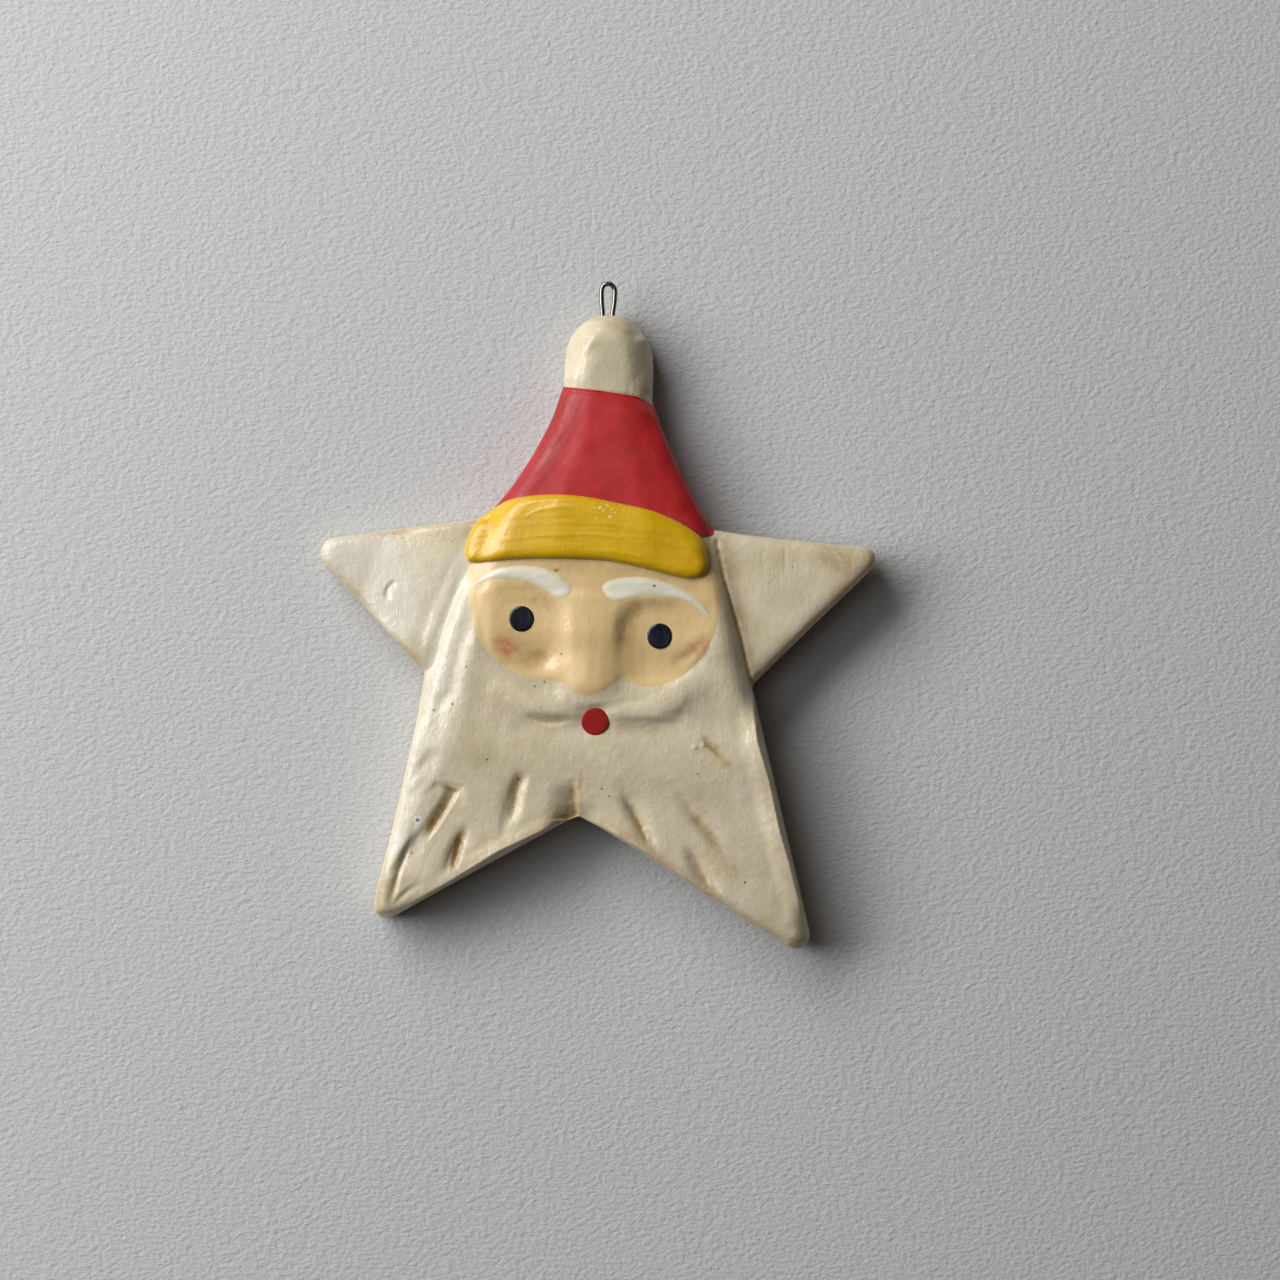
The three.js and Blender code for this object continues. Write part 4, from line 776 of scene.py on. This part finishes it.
class ORNAMENT_OT_casting(bpy.types.Operator):
    """Refine the star casting and carve its fine detail"""

    bl_idname = "ornament.casting"
    bl_label = "Casting"

    def execute(self, context):
        sizes, colours = context.scene.ornament_sizes, context.scene.ornament_colours
        bm = merged_copy("star_body")
        low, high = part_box("hanger_loop")
        # The wire's hole is filled, since the wire itself fills it in the real one.
        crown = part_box("star_body")[1].z
        plug = bmesh.ops.create_cube(bm, size=1)["verts"]
        bmesh.ops.scale(bm, verts=plug, vec=(5.2 * MM, 1.9 * MM, crown - low.z + 0.2 * MM))
        bmesh.ops.translate(bm, verts=plug, vec=(0, 0, (crown + low.z) / 2 - 0.55 * MM))
        bm = with_modifier(bm, "REMESH", mode="VOXEL", voxel_size=sizes.grain)
        for _ in range(3):
            bmesh.ops.smooth_vert(
                bm, verts=bm.verts, factor=0.5, use_axis_x=True, use_axis_y=True, use_axis_z=True
            )
        bm.normal_update()
        places = places_of(bm)
        shift = pulled(places[:, 0], places[:, 2])
        places[:, 0] += shift[0]
        places[:, 2] += shift[1]
        move_to(bm, places)
        facing = ease((-np.array([v.normal.y for v in bm.verts]) - 0.2) / 0.45)
        facing *= places[:, 1] < back_level - 1.5
        x, y, z = places.T
        # the frame's facets are smoothed away along the depth alone, so that the outline keeps its place
        soft = spread_over(bm, facing, 10)
        y = y + soft * (spread_over(bm, y, 34) - y)
        broad = spread_over(bm, y, 240)
        for (cx, cz), reach, share in SMOOTHED:
            within = share * ease(1.6 * (1 - np.hypot(x - cx, z - cz) / reach))
            y = y + facing * within * (broad - y)
        for sections, outline, fade, top in ((SECTIONS, CARVED, 1.6, -48.4), (LEG_SECTIONS, LEG_CARVED, 1.0, -79.0)):
            carved = spread_over(bm, sectioned(x, z, sections), 6)
            away, _, _ = nearest(outline, x, z, closed=True)
            y = y + facing * inside(outline, x, z) * ease(away / fade) * ease((top - z) / 2) * (carved - y)
        for line, falling, slope, reach in FLATS:
            away, along, side = nearest(line, x, z)
            ends = ease(along / 0.2) * ease((1 - along) / 0.2)
            in_front = np.clip((back_level - 0.4 - y) / 4, 0, 1)
            y = y + in_front * ends * slope * np.where(side == falling, np.minimum(away, reach), 0)
        for line, width, fall in EDGES:
            away, along, _ = nearest(line, x, z)
            ends = ease(along / 0.16) * ease((1 - along) / 0.16)
            y = y - soft * ends * fall * np.clip(1 - away / width, 0, 1) ** 2
        wash_and_shade = np.zeros(x.shape)
        for line, widths, depth, taper, brown in CUTS:
            share = stroke(x, z, smooth_line(line, 1.0), widths, taper)
            y = y + facing * depth * share
            wash_and_shade = np.maximum(wash_and_shade, facing * brown * share)
        y = y + facing * (0.07 * lumps(places, 5.5, 3) + 0.024 * lumps(places, 2.2, 8) + 0.012 * lumps(places, 1.0, 5))
        hollow = y - spread_over(bm, y, 26)
        wash_and_shade = 1 - (1 - wash_and_shade) * (1 - facing * stain_shade_and_sheen(x, z, STAINS))
        wash_and_shade = 1 - (1 - wash_and_shade) * (1 - 0.25 * ease((hollow - 0.03) / 0.16) * facing)
        side = (1 - facing) * (places[:, 1] < back_level - 0.3)
        wash_and_shade = np.maximum(wash_and_shade, 0.16 * side)
        places[:, 1] = y
        move_to(bm, places)
        write_attribute(bm, "wash_and_shade", spread_over(bm, wash_and_shade, 1))
        # painted sheen: how much paler the light-facing left arm and flank are painted
        write_attribute(bm, "painted_sheen", facing * stain_shade_and_sheen(x, z, PAINTED_SHEEN))
        made["ground"] = BVHTree.FromBMesh(bm)
        made["casting"] = bm.copy()
        # Filled casting resin, brushed with cream acrylic and varnished: satin, with brush marks, a few
        # pinholes from air bubbles, brown wash left in the cuts and along the edges, and a paler painted sheen on the
        # left arm and flank.
        material = paint_material(
            "cream_painted_resin", colours.cream, "#c9ba98", colours.wash_and_shade, (0.05, 2.6, 0.3),
            0.46, 0.7, pits=0.14, bump=0.55, streaky=0.1,
        )

        def pinholes(tree, place, base):
            # painted sheen: the cream is mixed toward a pale grey-white on the left arm and flank, standing in for the
            # varnish's sheen
            painted_sheen = add(tree, "ShaderNodeAttribute", attribute_name="painted_sheen").outputs["Fac"]
            base = mixed(tree, maths(tree, "MULTIPLY", painted_sheen, 0.8), base, linear("#dcd6c6"))
            dotted = base
            for middle, radius, colour in PINHOLES:
                dotted = dab(tree, place, dotted, middle, radius, colour)
            depth = add(tree, "ShaderNodeSeparateXYZ", {"Vector": place}).outputs["Y"]
            front = maths(tree, "LESS_THAN", depth, (back_level - 2) * MM)
            return mixed(tree, front, base, dotted)

        recoloured(material, pinholes)
        new_piece("casting", bm, material, ["star_body"])
        return {"FINISHED"}


class ORNAMENT_OT_hat_paint(bpy.types.Operator):
    """Lay the red coat on the hat"""

    bl_idname = "ornament.hat_paint"
    bl_label = "Hat Paint"

    def execute(self, context):
        sizes, colours = context.scene.ornament_sizes, context.scene.ornament_colours
        bm = made["casting"].copy()
        trim(bm, HAT_TOP, keep_above=False)
        trim(bm, HAT_FOOT, keep_above=True)
        bmesh.ops.bisect_plane(
            bm, geom=bm.verts[:] + bm.edges[:] + bm.faces[:], dist=1e-7,
            plane_co=(0, (back_level - 1.7) * MM, 0), plane_no=(0, 1, 0.04), clear_outer=True,
        )
        bm.normal_update()
        x, y, z = places_of(bm).T
        # painted shade: the red is darkened down the hat's left flat, which faces the lamp, carried by the same
        # attribute as the brown wash
        write_attribute(bm, "wash_and_shade", stain_shade_and_sheen(x, z, [([(-8.4, -18.0), (-10.4, -26.0), (-17.0, -36.0)], 5.0, 0.75)]))
        for vertex in bm.verts:
            vertex.co += vertex.normal * sizes.coat
        bmesh.ops.solidify(bm, geom=bm.faces[:], thickness=0.22 * MM)
        # Red acrylic under varnish: deep and smooth, with a grey sheen where a flat mirrors the room, and painted
        # shade, a darker red, down its left flat.
        material = paint_material(
            "red_gloss_paint", colours.red, "#a81a1c", "#5e0d12", (0.1, 6.0, 0.5), 0.5, 0.08, bump=0.14,
            wash_reach=0.35,
        )
        new_piece("hat_paint", bm, material, ["hat_coat"])
        return {"FINISHED"}


class ORNAMENT_OT_face_paint(bpy.types.Operator):
    """Lay the flesh coat on the face, with its blush"""

    bl_idname = "ornament.face_paint"
    bl_label = "Face Paint"

    def execute(self, context):
        sizes, colours = context.scene.ornament_sizes, context.scene.ornament_colours
        coat = sizes.coat / MM

        def height(away, x, z):
            return 0.012 + coat * ease(away / 0.7)

        bm = film(FACE, 0.36, height, made["ground"])
        x, y, z = places_of(bm).T
        # painted shade: brown darkening in the sockets, beside and down the nose, along the cheeks' creases and under
        # the hat band and brows; the last entry is a real speck
        shade = [
            ([(-14.4, -49.6), (-11.0, -49.4), (-8.6, -50.4)], 2.0, 0.4),
            ([(-9.4, -50.6), (-7.6, -51.2)], 1.5, 0.3),
            ([(-8.8, -59.4), (-7.2, -59.4)], 1.4, 0.4),
            ([(-13.0, -59.0), (-9.6, -60.2)], 2.4, 0.52),
            ([(11.4, -60.0), (14.4, -59.0)], 2.2, 0.22),
            ([(-10.0, -47.4), (8.0, -48.0)], 3.0, 0.16),
            ([(5.6, -51.2), (4.5, -53.2), (4.3, -56.0)], 2.0, 0.6),
            ([(5.4, -52.0), (8.0, -50.8), (11.6, -50.6)], 1.6, 0.35),
            ([(13.0, -59.2), (15.2, -58.0), (16.8, -56.4)], 1.6, 0.35),
            ([(-8.6, -60.8), (-12.4, -61.0)], 1.2, 0.2),
            ([(-20.0, -45.6), (-8.0, -44.8), (6.0, -45.6), (15.0, -47.2)], 1.3, 0.34),
            ([(-1.6, -53.0), (-0.6, -60.0)], 2.6, 0.08),
            ([(-7.1, -45.8), (-6.4, -45.7)], 0.35, 1.0),
        ]
        write_attribute(bm, "wash_and_shade", stain_shade_and_sheen(x, z, shade))
        blush = [
            ([(-15.2, -57.8), (-14.0, -58.4)], 1.6, 0.74),
            ([(15.6, -57.5), (17.4, -57.0)], 1.6, 0.42),
            ([(16.7, -57.1), (17.5, -57.5)], 0.7, 0.55),
        ]
        write_attribute(bm, "blush", stain_shade_and_sheen(x, z, blush))
        # Flesh acrylic: warmer and glossier than the cream, with brown painted shade in the sockets, by the nose, along
        # the cheeks' creases and under the hat band.
        material = paint_material(
            "flesh_gloss_paint", colours.flesh, "#dfc088", "#8f6a35", (0.35, 3.0, 0.35), 0.38, 0.5, pits=0.02,
            bump=0.3, wash_reach=0.6, varnish=0.18,
        )

        def blushed(tree, place, base):
            pink = add(tree, "ShaderNodeAttribute", attribute_name="blush").outputs["Fac"]
            uneven = spread(tree, noise_of(tree, place, 0.9), 0.36, 0.64, 0.35, 0.95)
            base = mixed(tree, maths(tree, "MULTIPLY", pink, uneven), base, linear("#cc5f4e"))
            base = dab(tree, place, base, (-5.6, -59.1), 0.16, "#4c3420")
            return dab(tree, place, base, (-6.8, -45.8), 0.22, "#7a5a34")

        recoloured(material, blushed)
        new_piece("face_paint", bm, material, ["face_coat"])
        return {"FINISHED"}


class ORNAMENT_OT_band(bpy.types.Operator):
    """Model the thick yellow hat band with its brush ridges"""

    bl_idname = "ornament.band"
    bl_label = "Hat Band"

    def execute(self, context):
        sizes, colours = context.scene.ornament_sizes, context.scene.ornament_colours
        tall = sizes.band / MM
        ridges = [
            ([(-15.4, -41.3), (-10.9, -40.5), (-6.4, -40.2), (0.0, -39.9), (8.0, -41.2)], 0.16, 0.16),
            ([(-13.2, -38.0), (-9.7, -36.2), (-6.6, -35.6), (-2.4, -35.4)], 0.18, 0.2),
            ([(-14.6, -36.4), (-10.4, -34.9), (-5.0, -34.5), (2.0, -35.0)], 0.2, 0.2),
            ([(-9.0, -42.6), (2.0, -42.4), (11.0, -44.4)], 0.1, 0.1),
            ([(-8.0, -38.4), (2.0, -38.2), (13.0, -41.2)], 0.1, 0.1),
        ]

        def height(away, x, z):
            lower, _, _ = nearest(BAND[:11], x, z)
            reach = np.where(lower < away + 0.3, 1.9, 2.8)
            edge = np.sqrt(1 - (1 - np.clip(away / reach, 0, 1)) ** 2)
            high = tall * (0.1 + 0.9 * edge)
            for line, width, rise in ridges:
                share = stroke(x, z, smooth_line(line, 1.0), (width * 2.4, width), (0.3, 0.4))
                high = high + rise * 0.6 * share
            places = np.stack([x * 0.12, z * 0 + 1, z + 0.004 * (x + 2) ** 2], 1)
            return high + 0.05 * edge * lumps(places, 0.55, 5) + 0.06 * edge * lumps(places, 2.4, 6)

        bm = film(BAND, 0.24, height, made["ground"], root=0.5)
        x, y, z = places_of(bm).T
        edge, _, _ = nearest(BAND[:12], x, z)
        write_attribute(bm, "wash_and_shade", 0.7 * ease(1 - edge / 1.1))
        # painted highlights: white specks painted into the yellow where the varnish on the band glints
        glints = [
            (-0.2, -35.5, 0.9), (0.1, -35.7, 1.0), (1.0, -35.2, 0.7), (1.2, -35.3, 0.5), (1.7, -35.8, 0.6),
            (-0.7, -37.3, 0.5), (1.4, -36.9, 0.8), (1.6, -37.1, 0.5), (3.2, -35.1, 0.35), (0.4, -36.1, 0.6),
            (2.4, -36.4, 0.5), (-0.9, -35.6, 0.35), (3.6, -35.9, 0.3), (-18.9, -40.6, 0.9), (-18.7, -40.9, 0.6),
        ]
        glint = np.zeros(x.shape)
        for gx, gz, strength in glints:
            glint[np.argmin(np.hypot(x - gx, z - gz) + (y > y.mean()) * 9)] = strength
        write_attribute(bm, "glint", glint)
        # Yellow acrylic laid on thick: ridges of the brush, shiny, browner along its foot, with painted highlights in
        # white specks where it glints.
        material = paint_material(
            "yellow_gloss_paint", colours.yellow, "#d0a108", "#7c5a0c", (1.53, 9.0, 0.35), 0.34, 0.35, bump=0.3,
            wash_reach=0.7, streaky=0.4,
        )

        def glinting(tree, place, base):
            painted_glint = add(tree, "ShaderNodeAttribute", attribute_name="glint").outputs["Fac"]
            return mixed(tree, painted_glint, base, linear("#fbf6dc"))

        recoloured(material, glinting)
        new_piece("band_paint", bm, material, ["hat_band"])
        return {"FINISHED"}


class ORNAMENT_OT_brows(bpy.types.Operator):
    """Lay the two white brows"""

    bl_idname = "ornament.brows"
    bl_label = "Brows"

    def execute(self, context):
        sizes, colours = context.scene.ornament_sizes, context.scene.ornament_colours
        tall = sizes.brow / MM

        def height(away, x, z):
            places = np.stack([x * 0.15, x * 0, z - 0.02 * x * np.abs(x)], 1)
            return 0.04 + tall * ease(0.25 + away / 1.4) * (1 + 0.12 * lumps(places, 0.6, 2))

        # Thick white acrylic, one stroke each: greyish where it is thin over the flesh colour.
        material = paint_material(
            "white_brow_paint", colours.white, "#dad5bf", "#d3bb8c", (1.4, 3.0, 0.3), 0.36, 0.3, bump=0.2,
            wash_reach=0.9,
        )
        recoloured(material, lambda tree, place, base: dab(tree, place, base, (8.9, -47.8), 0.2, "#1c1712"))
        for side, outline in (("left", BROW_LEFT), ("right", BROW_RIGHT)):
            bm = film(outline, 0.22, height, made["ground"])
            x, y, z = places_of(bm).T
            away, _, _ = nearest(smooth_line(outline, 0.3, closed=True), x, z, closed=True)
            write_attribute(bm, "wash_and_shade", 0.9 * ease(1 - away / 0.7))
            new_piece(f"brow_{side}", bm, material, [f"eyebrow_{side}"])
        return {"FINISHED"}


class ORNAMENT_OT_dots(bpy.types.Operator):
    """Dab on the eyes and the mouth"""

    bl_idname = "ornament.dots"
    bl_label = "Eyes and Mouth"

    def execute(self, context):
        sizes, colours = context.scene.ornament_sizes, context.scene.ornament_colours
        # Black acrylic dabbed with the end of a dowel: nearly flat, with a raised rim and dull grey sheen; its
        # blue-grey brush streaks are partly real brush texture and partly painted sheen.
        black = paint_material(
            "black_gloss_paint", colours.black, "#171d27", "#000000", (0.6, 1.6, 0.3), 0.24, 0.0, bump=0.4, streaky=1.2,
        )
        # The same red as the hat, flat and even.
        red = paint_material(
            "red_mouth_paint", "#a01719", "#901315", "#5e0d12", (0.3, 3.0, 0.4), 0.34, 0.0, bump=0.1,
        )
        dots = [
            ("eye_left_paint", "eye_left", (-12.1, -53.7), sizes.eye, black, 0.2, "black_paint"),
            ("eye_right_paint", "eye_right", (10.0, -55.8), sizes.eye, black, 0.2, "black_paint"),
            ("mouth_paint", "mouth_dot", (0.1, -69.7), sizes.mouth, red, 0.08, "red_paint"),
        ]
        for name, node, (cx, cz), across, material, tall, slot in dots:
            r = across / MM / 2
            turns = np.linspace(0, 2 * math.pi, 28, endpoint=False)
            outline = [(cx + r * math.sin(a), cz + r * math.cos(a)) for a in turns]

            def height(away, x, z):
                return 0.03 + tall * np.sqrt(1 - (1 - np.clip(away / 0.3, 0, 1)) ** 2)

            bm = film(outline, 0.16, height, made["ground"], level=True)
            write_attribute(bm, "wash_and_shade", np.zeros(len(bm.verts)))
            new_piece(name, bm, material, [node])
        return {"FINISHED"}


class ORNAMENT_OT_wire(bpy.types.Operator):
    """Bend the wire eye"""

    bl_idname = "ornament.wire"
    bl_label = "Wire Eye"

    def execute(self, context):
        sizes = context.scene.ornament_sizes
        r = sizes.wire / 2 / MM
        wide = 1.475 - r
        path = [
            (-1.6, -13.3), (-1.4, -12.6), (-0.82, -11.6), (-0.8, -9.0), (-0.8, -4.6), (-0.96, -3.0),
            (-wide, -1.1), (-0.92, -0.1), (-0.42, 0.29), (0.12, 0.36), (0.6, 0.14), (0.98, -0.42),
            (wide, -1.2), (0.98, -3.0), (0.8, -4.6), (0.8, -9.0), (0.82, -11.6), (1.4, -12.6), (1.6, -13.3),
        ]
        line = smooth_line(path, 0.22)
        bm = bmesh.new()
        ring = bmesh.ops.create_circle(bm, cap_ends=True, segments=20, radius=r * MM)["verts"]
        bmesh.ops.translate(bm, verts=ring, vec=(line[0][0] * MM, 0, line[0][1] * MM))
        loop = bm.faces[:]
        for i in range(1, len(line)):
            made_now = bmesh.ops.extrude_face_region(bm, geom=loop)["geom"]
            verts = [g for g in made_now if isinstance(g, bmesh.types.BMVert)]
            ahead = line[min(i + 1, len(line) - 1)] - line[i - 1]
            turn = math.atan2(ahead[0], ahead[1])
            for k, vertex in enumerate(verts):
                pass
            step = Vector((line[i][0] * MM, 0, line[i][1] * MM))
            middle = sum((v.co for v in verts), Vector()) / len(verts)
            last = loop[0].normal.copy() if i > 1 else Vector((0, 0, 1))
            heading = Vector((math.sin(turn), 0, math.cos(turn)))
            spin = last.rotation_difference(heading) if i > 1 else Vector((0, 0, 1)).rotation_difference(heading)
            bmesh.ops.rotate(bm, verts=verts, cent=middle, matrix=spin.to_matrix())
            bmesh.ops.translate(bm, verts=verts, vec=step - middle)
            bmesh.ops.delete(bm, geom=loop, context="FACES_ONLY") if i > 1 else None
            loop = [g for g in made_now if isinstance(g, bmesh.types.BMFace)]
            bm.normal_update()
        bmesh.ops.recalc_face_normals(bm, faces=bm.faces)
        # Drawn steel wire: bright, with fine lengthwise draw marks and a little tarnish by the casting.
        material, tree, shader, place = new_material("drawn_steel_wire")
        drawn = add(
            tree, "ShaderNodeMapping",
            {"Vector": place, "Scale": (per_mm(0.12), per_mm(0.12), per_mm(4))},
        ).outputs[0]
        marks = add(tree, "ShaderNodeTexNoise", {"Vector": drawn, "Scale": 1.0, "Detail": 2.0}).outputs["Fac"]
        tarnish = add(tree, "ShaderNodeTexNoise", {"Vector": place, "Scale": per_mm(1.2), "Detail": 3.0}).outputs["Fac"]
        spots = add(tree, "ShaderNodeMapRange", {"Value": tarnish, "From Min": 0.5, "From Max": 0.75}).outputs[0]
        tree.links.new(mixed(tree, spots, linear("#8f8a81"), linear("#6d6355")), shader.inputs["Base Color"])
        rough = add(
            tree, "ShaderNodeMapRange", {"Value": marks, "From Min": 0.3, "From Max": 0.7, "To Min": 0.12, "To Max": 0.22}
        ).outputs[0]
        tree.links.new(rough, shader.inputs["Roughness"])
        shader.inputs["Metallic"].default_value = 1.0
        tree.links.new(
            add(tree, "ShaderNodeBump", {"Height": marks, "Strength": 0.2, "Distance": 0.02 * MM}).outputs[0],
            shader.inputs["Normal"],
        )
        new_piece("wire_eye", bm, material, ["hanger_loop"])
        return {"FINISHED"}


# The stage


def towards(turn, rise):
    """The direction that stands rise degrees over the paper, turned from its right edge."""
    turn, rise = math.radians(turn), math.radians(rise)
    flat = math.cos(rise)
    return Vector((flat * math.cos(turn), -math.sin(rise), flat * math.sin(turn)))


def lamp(name, middle, turn, rise, away, size, power, colour):
    """A flat lamp facing the middle; size is its width along the paper and its height."""
    data = bpy.data.lights.new(name, "AREA")
    data.shape, data.size, data.size_y = "RECTANGLE", *size
    data.energy, data.color = power, colour
    obj = bpy.data.objects.new(name, data)
    back = towards(turn, rise)
    side = Vector((-math.sin(math.radians(turn)), 0, math.cos(math.radians(turn))))
    obj.location = middle + back * away
    obj.rotation_mode = "QUATERNION"
    obj.rotation_quaternion = Matrix((side, back.cross(side), back)).transposed().to_quaternion()
    bpy.context.scene.collection.objects.link(obj)


class ORNAMENT_OT_stage(bpy.types.Operator):
    """Set the paper, the light and the camera"""

    bl_idname = "ornament.stage"
    bl_label = "Stage"

    def execute(self, context):
        scene = context.scene
        bm = bmesh.new()
        bmesh.ops.create_grid(bm, x_segments=2, y_segments=2, size=0.9)
        bmesh.ops.rotate(bm, verts=bm.verts, matrix=Matrix.Rotation(math.pi / 2, 3, "X"))
        # the ornament stands 1.6 mm off the paper on its right side, as its shadow shows
        for vertex in bm.verts:
            x = vertex.co.x
            vertex.co = (x, (back_level + 0.05) * MM + (x - cad_box[0][0]) * 0.018, vertex.co.z - 0.055)
        mesh = bpy.data.meshes.new("floor_paper")
        bm.to_mesh(mesh)
        paper = bpy.data.objects.new("floor_paper", mesh)
        scene.collection.objects.link(paper)
        # Cold-pressed watercolour paper: matt, with a pebbled tooth about 1.5 mm across. It can't be
        # seen from behind, so that the ornament's back can.
        material, tree, shader, place = new_material("cold_pressed_paper")
        shader.inputs["Base Color"].default_value = linear("#c4c4c3")
        shader.inputs["Roughness"].default_value = 0.85
        shader.inputs["Specular IOR Level"].default_value = 0.2
        wide = add(
            tree, "ShaderNodeMapping", {"Vector": place, "Scale": (per_mm(0.95), per_mm(0.62), per_mm(0.62))}
        ).outputs[0]
        tooth = add(
            tree, "ShaderNodeTexNoise",
            {"Vector": wide, "Scale": 1.0, "Detail": 2.5, "Roughness": 0.5, "Distortion": 0.2},
        )
        tree.links.new(
            add(tree, "ShaderNodeBump", {"Height": tooth.outputs["Fac"], "Strength": 1.0, "Distance": 0.24 * MM}).outputs[0],
            shader.inputs["Normal"],
        )
        clear = tree.nodes.new("ShaderNodeBsdfTransparent")
        behind = add(tree, "ShaderNodeNewGeometry").outputs["Backfacing"]
        ray = add(tree, "ShaderNodeLightPath").outputs
        direct = maths(tree, "LESS_THAN", ray["Ray Depth"], 1.5)
        gone = maths(tree, "MAXIMUM", behind, maths(tree, "MULTIPLY", ray["Is Shadow Ray"], direct))
        seen = add(tree, "ShaderNodeMixShader", {0: gone, 1: shader.outputs[0], 2: clear.outputs[0]})
        output = next(n for n in tree.nodes if n.type == "OUTPUT_MATERIAL")
        tree.links.new(seen.outputs[0], output.inputs["Surface"])
        mesh.materials.append(material)

        world = bpy.data.worlds.new("room")
        scene.world = world
        world.use_nodes = True
        tree = world.node_tree
        tree.nodes.clear()
        way = add(tree, "ShaderNodeTexCoord").outputs["Generated"]

        def patch(turn, rise, wide, level):
            """A bright patch of the room: full at its middle and gone at that many degrees from it."""
            near = add(
                tree, "ShaderNodeVectorMath", {0: way, 1: towards(turn, rise)}, operation="DOT_PRODUCT"
            ).outputs["Value"]
            return add(
                tree, "ShaderNodeMapRange",
                {"Value": near, "From Min": math.cos(math.radians(wide)), "From Max": 1.0, "To Max": level},
                interpolation_type="SMOOTHSTEP",
            ).outputs[0]

        # the room: a bright ceiling behind the camera, the pale wall beside the window, and little else
        sky = patch(172, 66, 20, 1.3)
        level = 0.02
        for bright in (patch(100, 70, 26, 0.3), sky, patch(190, 30, 55, 0.08), patch(300, 8, 60, 0.03)):
            level = maths(tree, "ADD", level, bright)
        tint = mixed(tree, maths(tree, "DIVIDE", sky, level, clamped=True), linear("#ffeeda"), linear("#d6e6ff"))
        seen = add(tree, "ShaderNodeLightPath").outputs["Is Camera Ray"]
        strength = add(tree, "ShaderNodeMix", {0: seen, 2: level, 3: 1.0}, data_type="FLOAT").outputs[0]
        room = add(
            tree, "ShaderNodeBackground",
            {"Color": mixed(tree, seen, tint, linear("#c9c9c6")), "Strength": strength},
        )
        output = tree.nodes.new("ShaderNodeOutputWorld")
        tree.links.new(room.outputs[0], output.inputs["Surface"])

        middle = Vector((6.76, 0, -56.5)) * MM
        # one wide window up on the left, close enough that the paper darkens to the right
        lamp("window", middle, 150, 35, 0.8, (1.1, 0.42), 10.3, (0.99, 1.0, 1.02))
        # light from behind, for the back alone
        lamp("window_behind", middle, 143, -50, 1.2, (0.8, 0.8), 10, (1.0, 0.99, 0.97))

        camera = bpy.data.cameras.new("camera")
        distance = 1.5
        camera.sensor_width = 36
        camera.lens = 36 * distance / 0.205
        eye = bpy.data.objects.new("camera", camera)
        turn = math.radians(1.2)
        eye.location = middle + Vector((math.sin(turn), -math.cos(turn), 0)) * distance
        roll = math.radians(1.73)
        back = (eye.location - middle).normalized()
        up = Vector((-math.sin(roll), 0, math.cos(roll)))
        right = up.cross(back).normalized()
        up = back.cross(right)
        eye.rotation_mode = "QUATERNION"
        eye.rotation_quaternion = Matrix((right, up, back)).transposed().to_quaternion()
        camera.clip_start, camera.clip_end = 0.01, 20
        scene.collection.objects.link(eye)
        scene.camera = eye
        scene.view_settings.view_transform = "Standard"
        return {"FINISHED"}


class ORNAMENT_PT_panel(bpy.types.Panel):
    bl_label = "Star Santa Ornament"
    bl_idname = "ORNAMENT_PT_panel"
    bl_space_type = "VIEW_3D"
    bl_region_type = "UI"
    bl_category = "Ornament"

    def draw(self, context):
        for group in (context.scene.ornament_sizes, context.scene.ornament_colours):
            for name in group.bl_rna.properties.keys():
                if name not in ("rna_type", "name"):
                    self.layout.prop(group, name)
        for operator in OPERATORS:
            self.layout.operator(operator.bl_idname)


OPERATORS = (
    ORNAMENT_OT_casting,
    ORNAMENT_OT_hat_paint,
    ORNAMENT_OT_face_paint,
    ORNAMENT_OT_band,
    ORNAMENT_OT_brows,
    ORNAMENT_OT_dots,
    ORNAMENT_OT_wire,
    ORNAMENT_OT_stage,
)
CLASSES = (OrnamentSizes, OrnamentColours, *OPERATORS, ORNAMENT_PT_panel)


def register():
    for item in CLASSES:
        bpy.utils.register_class(item)
    bpy.types.Scene.ornament_sizes = bpy.props.PointerProperty(type=OrnamentSizes)
    bpy.types.Scene.ornament_colours = bpy.props.PointerProperty(type=OrnamentColours)


def unregister():
    del bpy.types.Scene.ornament_colours
    del bpy.types.Scene.ornament_sizes
    for item in reversed(CLASSES):
        bpy.utils.unregister_class(item)


def main():
    register()
    bpy.ops.ornament.casting()
    bpy.ops.ornament.hat_paint()
    bpy.ops.ornament.face_paint()
    bpy.ops.ornament.band()
    bpy.ops.ornament.brows()
    bpy.ops.ornament.dots()
    bpy.ops.ornament.wire()
    bpy.ops.ornament.stage()


if __name__ == "__main__":
    main()
